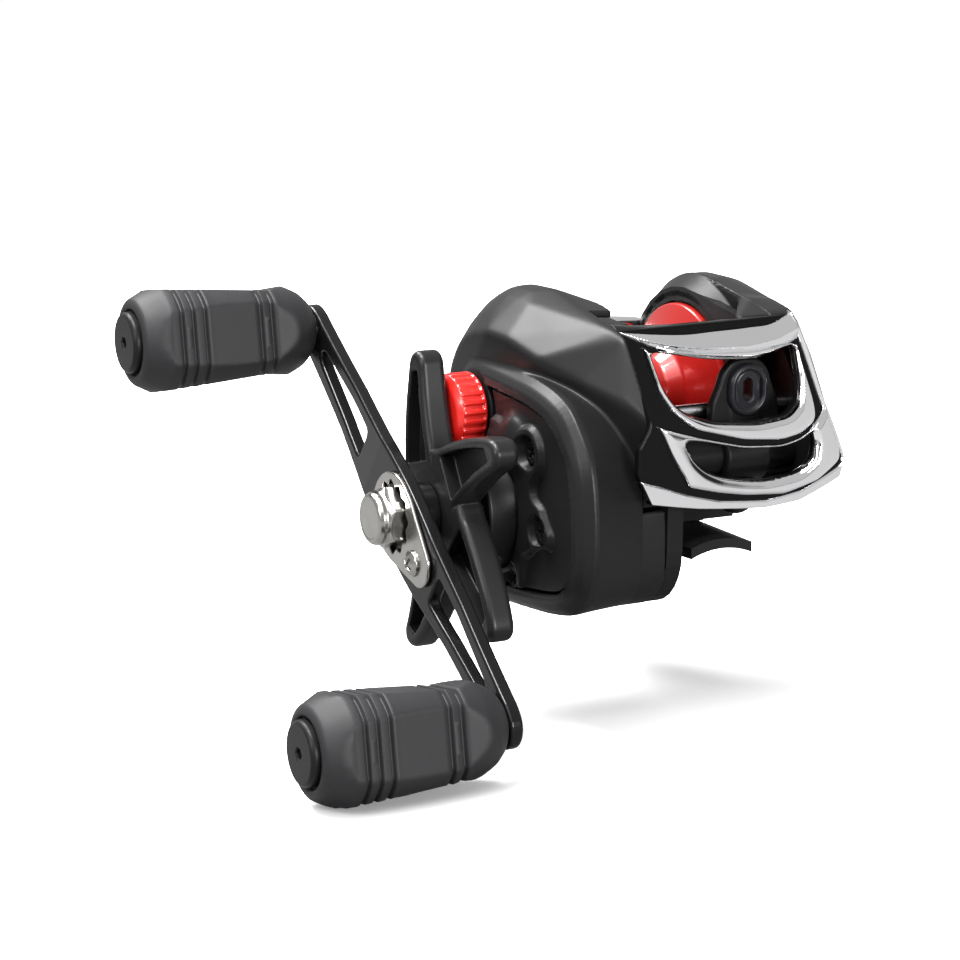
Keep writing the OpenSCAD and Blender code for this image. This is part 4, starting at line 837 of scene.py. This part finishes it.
SHIELD = [(-18.5, 40.7), (-18.8, 34), (-19.4, 27.2), (-21.8, 22.4), (-22.0, 18), (-20.6, 15.2), (-18.6, 12.9),
          (-10, 12), (1.8, 11.5), (9, 12), (18.4, 14.6), (18.5, 26), (18.5, 41)]
plan = outline_distance(soften(SHIELD, 0.5, 3, True), A2, B2)
plan = np.maximum(np.maximum(plan, -upper_hole - 0.2), -lower_hole - 0.2)[:, :, None]
skin("shield_face", fillet_and(plan, between(C, -1.5, 0.0), 0.35), axes, "frame", "shield_black", ("front_shield",),
     on_shield)


def trim(name, flat, front, replaces=(), back=-0.6, r=0.3):
    field = fillet_and(flat[:, :, None], np.maximum(C - front[:, :, None], back - C), r)
    return skin(name, field, axes, "frame", "chrome_trim", replaces, on_shield)


def crown(flat, wide, low, high):
    k = np.clip(-flat / wide, 0, 1)
    return low + (high - low) * np.sqrt(1 - (1 - k) ** 2)


TOP_UPPER = [(-18.1, 40.5), (-12, 39.9), (-5.8, 39.5), (0.5, 39.6), (7.3, 39.7), (12.4, 39.9), (17.8, 41.2)]
TOP_LOWER = [(-18.1, 40.2), (-15.8, 39), (-13.5, 37.9), (-8.6, 36.5), (-3.6, 35.6), (5, 35.1), (9.3, 35.5),
             (12.8, 36), (17.8, 37.2)]
top_band = outline_distance(np.concatenate([curve(TOP_UPPER, 5, False), curve(TOP_LOWER, 5, False)[::-1]]), A2, B2)
zu = np.interp(A2, *np.array(TOP_UPPER).T)
zl = np.interp(A2, *np.array(TOP_LOWER).T)
v = np.clip((B2 - zl) / np.maximum(zu - zl, 0.4), 0, 1)
wide = np.clip((zu - zl) / 3.5, 0.15, 1)
front = 0.25 + wide * 0.95 * np.minimum(v / 0.42, 1) * (1 - 0.75 * np.clip((v - 0.42) / 0.58, 0, 1))
trim("top_band", top_band, front, ("upper_trim",))
U_OUT = [(-15.1, 38.2), (-15.9, 31.5), (-15.0, 28.2), (-12.2, 25.6), (-4.2, 23.6), (3, 23.0), (8.1, 23.5),
         (13, 24.9), (14.7, 27.6), (15.3, 30), (16.3, 36.6), (15.6, 36.3), (15.2, 36.6), (-14.2, 37.3)]
u_flat = np.maximum(outline_distance(soften(U_OUT, 1.2, 3, True), A2, B2), -upper_hole)
trim("window_frame", u_flat, crown(u_flat, 1.1, 0.15, 0.9), ("upper_trim",), -1.9)
RING_OUT = [(-18.8, 26.6), (-16.9, 21.2), (-13.9, 15.7), (-8.8, 14.5), (-3.2, 13.6), (4.8, 13.0),
            (12.1, 14.6), (17.3, 17.9), (18.3, 20.5), (18.1, 26.7), (17, 26.2), (13, 24.7), (11, 23.8),
            (7.8, 22.95), (2.9, 22.35), (-4.5, 22.85), (-11.8, 24.5), (-15, 25.4)]
ring_flat = np.maximum(outline_distance(soften(RING_OUT, 0.9, 3, True), A2, B2), -lower_hole)
trim("lower_ring", ring_flat, crown(ring_flat, 1.5, 0.2, 1.2), ("lower_trim",), -1.9)
RIGHT = [(17.5, 41.6), (18.4, 40), (18.7, 35.8), (18.6, 28.1), (18.9, 24.4), (18.9, 20.5), (18.7, 17.5),
         (18.2, 17.9), (17.5, 21), (17.3, 24.5), (17.2, 27), (17.2, 31), (17.2, 36.6), (16.9, 41)]
right_flat = outline_distance(soften(RIGHT, 0.5, 3, True), A2, B2)
trim("right_band", right_flat, crown(right_flat, 0.8, 0.3, 0.95), ("upper_trim",), -1.5)
LIP = [(-21.6, 17.1), (-17.4, 15.8), (-13.4, 14.4), (-7.5, 13.0), (1.6, 12.3), (9, 13.2), (17.6, 16.4),
       (18.7, 17.2), (18.6, 14.2), (9.2, 11.2), (1.8, 10.8), (-10.9, 11.6), (-15.1, 12.1), (-18.9, 12.6)]
lip_flat = outline_distance(LIP, A2, B2)
trim("bottom_lip", lip_flat, np.full_like(lip_flat, 0.45), ("bottom_trim",), -1.5)

# ---------------------------------------------------------------- thumb rest above the shield
axes, X, Y, Z = grid((-19, -25.6, 35.4), (17.6, -14.2, 42.6), 0.22)
ends = np.abs(X) / 18.5
top = 40.55 + 0.9 * ends ** 3 - 0.42 * np.clip(Y + 22.4, 0, 9)
face = shield_y(X, Z).astype(F32) + 0.15
rest = fillet_and(face - Y, Z - top, 0.45)
rest = np.maximum(np.maximum(rest, 17.3 - disc(Y, Z, SPOOL, 0)), between(X, -18.6, 17.2))
rest = np.maximum(rest, 36.2 - Z)
skin("rest_bar", blur(rest), axes, "frame", "case_black", ("thumb_rest",))

# ---------------------------------------------------------------- palm-side cover
axes, X, Y, Z = grid((6.4, -42.4, 0.6), (30.6, 25.6, 46.6), 0.32)
outside = [p for x, r in ((9.0, 21.5), (14.1, 21.6), (18, 21.6), (21, 20.7), (24, 18.8), (27, 16.2), (29.5, 12.8))
           for p in arc(x, r, -120, 120, 13)]
outside += [(x, SPOOL[0] - a, SPOOL[1] + b) for x, a, b in ((29.5, 10.5, 6), (29.5, 11, -6))]
outside += [(14.1, -9.5, 42.3), (14.1, -13, 42), (14.1, -17, 41.5), (14.1, -22.3, 40.8)]
outside += [(18.5, -16.9, 42.4), (18.5, -23.2, 41.3), (18.5, -24.9, 39.9), (9, -23, 41.2), (9, -16.5, 42),
            (19, -28.9, 34.6), (19, -33, 27.6), (19, -36.6, 22.4), (19, -38.6, 17), (9, -37, 18),
            (9, -34, 10.5), (19, -34, 11.5), (22, -19.5, 38.6), (22, -23.5, 33.7), (22, -27.7, 26.8),
            (22, -31.8, 21.5), (22, -30, 12.5), (9, -20, 4.5), (25, -13.2, 39.2), (25, -18.8, 32.7),
            (25, -23.1, 25.7), (25, -27.2, 20.4), (25, -25, 13), (22, -16, 4.6), (28, -8.6, 38),
            (28, -14.3, 31.7), (28, -18.6, 24.6), (28, -21, 18), (28, -16, 11), (25, -8, 3)]
canopy = blur(hull_distance(outside, X, Y, Z), 10)
palm = np.maximum(np.maximum(canopy, X - 29.7), -(canopy + 1.3))
palm = np.maximum(palm, 14.1 - X)
flat_end = np.maximum(np.maximum(canopy, between(X, 28.3, 29.6)), 0)
palm = np.minimum(palm, flat_end)
R = disc(Y, Z, SPOOL, 0)
cone = 19 + 0.743 * np.clip(X - 11, 0, 3.5)
wedge = blur(hull_distance([(7.4, -23.3, 40.9), (7.4, -21.6, 40.4), (11.5, -16, 40.9), (14.6, -11.2, 42.4),
                            (14.6, -16, 42.9), (18.5, -16.9, 42.4), (18.5, -23.2, 41.3), (18.5, -24.9, 39.9),
                            (14.2, -25.2, 40.2), (7.4, -23.4, 39.6), (14, -14, 38.4), (18.5, -14, 38.4),
                            (14.2, -24.2, 38.4), (18.4, -24.5, 38.4)], X, Y, Z), 4)
palm = fillet_or(palm, np.maximum(wedge, 38.4 - Z), 0.9)
palm = np.maximum(palm, -np.maximum(R - cone, X - 14.8))
ring = fillet_and(np.maximum(16.75 - R, R - cone), between(X, 11, 14.9), 0.3)
ring = np.maximum(ring, np.maximum(-16.8 - Y, (SPOOL[1] - 21.9) - Z))
palm = np.minimum(palm, ring)
seal = np.maximum(between(X, 13.9, 14.9), between(R, 20.4, 24.5))
seal = np.maximum(seal, np.maximum(between(Y, -17, -3), canopy + 0.4))
palm = np.minimum(palm, np.maximum(seal, 30 - Z))
shield_top = 40.8 - 0.2 * np.clip(Y + 25, 0, 9)
shield_room = np.maximum(np.maximum(X - 18.6, Y + 15.8), np.maximum(10.4 - Z, Z - shield_top))
palm = np.maximum(palm, -shield_room)
slot_room = np.maximum(np.maximum(X - 16.1, between(Y, 17.6, 22.6)), between(Z, 27.4, 35.7))
palm = np.maximum(palm, -slot_room)
palm = np.maximum(palm, -np.maximum(disc(Y, Z, SPOOL, 8.6), 28.4 - X))
palm = np.maximum(palm, -np.maximum(disc(Y, Z, SPOOL, 3.2), 20 - X))
skin("palm_side_shell", palm, axes, "frame", "case_black", ("palm_side_cover",))

# ---------------------------------------------------------------- spool
SPOOL_LINE = [(-8, 1.7), (-8, 3), (-7.4, 3.6), (0, 4.8), (7.4, 3.6), (8, 3), (8, 1.7), (9.4, 1.7), (9.4, 4.2),
              (8, 5), (10, 12.4), (10.4, 14.6), (11.6, 14.6), (11.6, 16.2), (10, 16.2), (9, 13.4), (7, 8.4),
              (4.4, 6.4), (0, 6), (-4.4, 6.4), (-7, 8.4), (-9, 13.4), (-10, 16.2), (-11.6, 16.2),
              (-11.6, 14.6), (-10.4, 14.6), (-10, 12.4), (-8, 5), (-9.4, 4.2), (-9.4, 1.7)]
line = soften(SPOOL_LINE, 0.45, 3, True)[::-1]
n, k = 160, len(line)
a = np.linspace(0, 2 * math.pi, n, endpoint=False)
verts = np.concatenate([np.stack([np.full(n, s), SPOOL[0] + r * np.cos(a), SPOOL[1] + r * np.sin(a)], 1)
                        for s, r in line])
faces = [(i * n + j, i * n + (j + 1) % n, (i + 1) % k * n + (j + 1) % n, (i + 1) % k * n + j)[::-1]
         for i in range(k) for j in range(n)]
piece("spool_turned", verts, faces, "spool", "spool_red", ("spool",)).modifiers.new("edges", "WEIGHTED_NORMAL")

# ---------------------------------------------------------------- thumb bar
axes, X, Y, Z = grid((-14.8, 17.6, 31.2), (13.2, 22.8, 35.6), 0.2)
bar = fillet_and(between(Y, 18.2, 22.0), between(Z, 31.8, 35.0 - 0.006 * (X - 1) ** 2), 1.1)
bar = fillet_and(bar, between(X, -14.3, 12.5), 0.6)
skin("thumb_bar_face", bar, axes, "clutch_bar", "chrome_trim", ("thumb_bar",))

# ---------------------------------------------------------------- deck bar behind the line guide
axes, X, Y, Z = grid((-16.2, -21.6, 19.4), (16.2, -19.4, 26.2), 0.3)
deck = fillet_and(between(Y, -21.0, -20.0), np.maximum(between(Z, 20, 25.5), between(X, -15.8, 15.8)), 0.4)
skin("deck_bar", deck, axes, "frame", "frame_black")

# ---------------------------------------------------------------- line guide and its insert
GX, GZ = 5.2, 29.24
axes, X, Y, Z = grid((-2.6, -32.4, 5.8), (13, -20.6, 35.4), 0.2)
outline = soften([(-7, 20.2), (-7, 23), (-6.9, 26.8), (-5.5, 29.7), (-4.7, 32.4), (-3, 34.3), (0, 34.8), (3, 34.3),
                  (4.7, 32.4), (5.5, 29.7), (6.9, 26.8), (7, 23), (7, 20.2)], 1.3, 3, True)
web = outline_distance(outline + np.array([GX, 0]), X[:, :, 0], Z[0])[:, None, :]
web = fillet_and(web, between(Y, -29.65, -27.65), 0.5)
RG = disc(Y, Z, WORM, 0)
saddle = fillet_and(RG - 5.05, between(X, GX - 4.5, GX + 4.5), 0.6)
cap = np.maximum(disc(X, Y, (GX, WORM[0]), 3.5), between(Z, 8.4, 13))
dome_cap = np.maximum(np.sqrt((X - GX) ** 2 + (Y - WORM[0]) ** 2 + ((Z - 9.2) * 1.2) ** 2) - 3.5, Z - 9.4)
foot = fillet_and(np.maximum(np.abs(X - GX) - 4.5, between(Z, 19.6, 22.9)), between(Y, -29.6, -24), 0.4)
arm = fillet_and(np.maximum(np.abs(X - GX) - 3, between(Z, 23.2, 27.6)), between(Y, -29.6, -23.2), 0.4)
guide = fillet_or(fillet_or(web, saddle, 0.8), fillet_or(cap, dome_cap, 0.3), 0.5)
guide = fillet_or(guide, fillet_or(foot, arm, 0.5), 0.6)
guide = np.maximum(np.maximum(guide, 3.47 - RG), 1.17 - disc(Y, Z, (-25.4, 25.443), 0))
oval = np.sqrt((X - GX) ** 2 + np.maximum(np.abs(Z - GZ) - 0.8, 0) ** 2)
guide = np.maximum(guide, 3.2 - oval)
skin("guide_body", guide, axes, "line_guide", "frame_black", ("line_guide",))
axes, X, Y, Z = grid((0.6, -31.9, 23.6), (9.8, -27.1, 34.9), 0.12)
oval = np.sqrt((X - GX) ** 2 + np.maximum(np.abs(Z - GZ) - 0.75, 0) ** 2)
hole = np.sqrt((X - GX) ** 2 + np.maximum(np.abs(Z - GZ) - 1.1, 0) ** 2) - 0.9
lip = np.sqrt((oval - 3.25) ** 2 + ((Y + 30.2) * 0.75) ** 2) - 0.66
body = fillet_and(oval - 3.15, between(Y, -30.4, -27.7), 0.3)
bore = np.sqrt((hole - 0.75) ** 2 + ((Y + 30.1) * 0.8) ** 2) - 0.68
insert = fillet_or(fillet_or(body, lip, 0.15), np.maximum(bore, 0), 0.12)
insert = np.maximum(insert, -hole)
insert = np.maximum(insert, -np.maximum(np.maximum(1.62 - hole, oval - 2.75), Y + 29.9))
skin("insert_ring", insert, axes, "line_guide", "ring_ceramic", ("guide_insert",))


# ---------------------------------------------------------------- floor and light
FLOOR_HALF = 12
floor_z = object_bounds()[0][2] - 0.0002
mesh = bpy.data.meshes.new("floor")
corners = ((-1, -1), (1, -1), (1, 1), (-1, 1))
mesh.from_pydata([(x * FLOOR_HALF, y * FLOOR_HALF, floor_z) for x, y in corners], [], [(0, 1, 2, 3)])
floor = bpy.data.objects.new("floor", mesh)
scene.collection.objects.link(floor)
paper = bpy.data.materials.new("paper")
paper.use_nodes = True
b = paper.node_tree.nodes["Principled BSDF"]
b.inputs["Base Color"].default_value = (0.93, 0.93, 0.93, 1)
b.inputs["Roughness"].default_value = 0.9
b.inputs["Specular IOR Level"].default_value = 0.1
path = paper.node_tree.nodes.new("ShaderNodeLightPath")
tone = paper.node_tree.nodes.new("ShaderNodeMix")
tone.data_type = "RGBA"
tone.inputs["A"].default_value = (0.93, 0.93, 0.93, 1)
tone.inputs["B"].default_value = (0.18, 0.18, 0.18, 1)
dim = paper.node_tree.nodes.new("ShaderNodeMath")
dim.operation = "MAXIMUM"
paper.node_tree.links.new(path.outputs["Is Glossy Ray"], dim.inputs[0])
paper.node_tree.links.new(path.outputs["Is Diffuse Ray"], dim.inputs[1])
paper.node_tree.links.new(dim.outputs["Value"], tone.inputs["Factor"])
paper.node_tree.links.new(tone.outputs["Result"], b.inputs["Base Color"])
mesh.materials.append(paper)


def lamp(name, at, aim, size, power, tall=None):
    data = bpy.data.lights.new(name, "AREA")
    data.shape = "RECTANGLE"
    data.size = size
    data.size_y = tall or size
    data.energy = power
    ob = bpy.data.objects.new(name, data)
    scene.collection.objects.link(ob)
    ob.location = Vector(at)
    ob.rotation_euler = (Vector(aim) - Vector(at)).to_track_quat("-Z", "Y").to_euler()
    return ob


lamp("front", (0.06, -0.95, 0.2), (0, 0, 0.02), 0.3, 11)
lamp("top", (-0.28, -0.04, 0.85), (0, 0, 0.02), 0.3, 18)
lamp("left", (-0.85, -0.35, 0.45), (0, 0, 0.02), 0.3, 5)
lamp("back", (-0.24, 0.5, 0.74), (0, 0, 0.02), 0.35, 14)
sun = bpy.data.lights.new("sun", "SUN")
sun.energy = 1.7
sun.angle = math.radians(50)
sun_ob = bpy.data.objects.new("sun", sun)
scene.collection.objects.link(sun_ob)
sun_ob.rotation_euler = (Vector((0, 0, 0)) - Vector((-0.35, -0.45, 0.9))).to_track_quat("-Z", "Y").to_euler()
world = bpy.data.worlds.new("studio")
scene.world = world
world.use_nodes = True
tree = world.node_tree
back = tree.nodes["Background"]
back.inputs["Strength"].default_value = 0.6
seen = tree.nodes.new("ShaderNodeTexCoord")
shade = None
for way, near, far in (((0.83, -0.54, 0.12), 0.9, 0.97), ((-0.2, -0.98, 0.05), 0.97, 0.992)):
    dot = tree.nodes.new("ShaderNodeVectorMath")
    dot.operation = "DOT_PRODUCT"
    dot.inputs[1].default_value = way
    tree.links.new(seen.outputs["Generated"], dot.inputs[0])
    span = tree.nodes.new("ShaderNodeMapRange")
    span.interpolation_type = "SMOOTHSTEP"
    for k, v in (("From Min", near), ("From Max", far), ("To Min", 1.0), ("To Max", 0.04)):
        span.inputs[k].default_value = v
    tree.links.new(dot.outputs["Value"], span.inputs["Value"])
    if shade is None:
        shade = span.outputs["Result"]
    else:
        both = tree.nodes.new("ShaderNodeMath")
        both.operation = "MULTIPLY"
        tree.links.new(shade, both.inputs[0])
        tree.links.new(span.outputs["Result"], both.inputs[1])
        shade = both.outputs["Value"]
tree.links.new(shade, back.inputs["Color"])
scene.view_settings.view_transform = "Standard"

write_points()
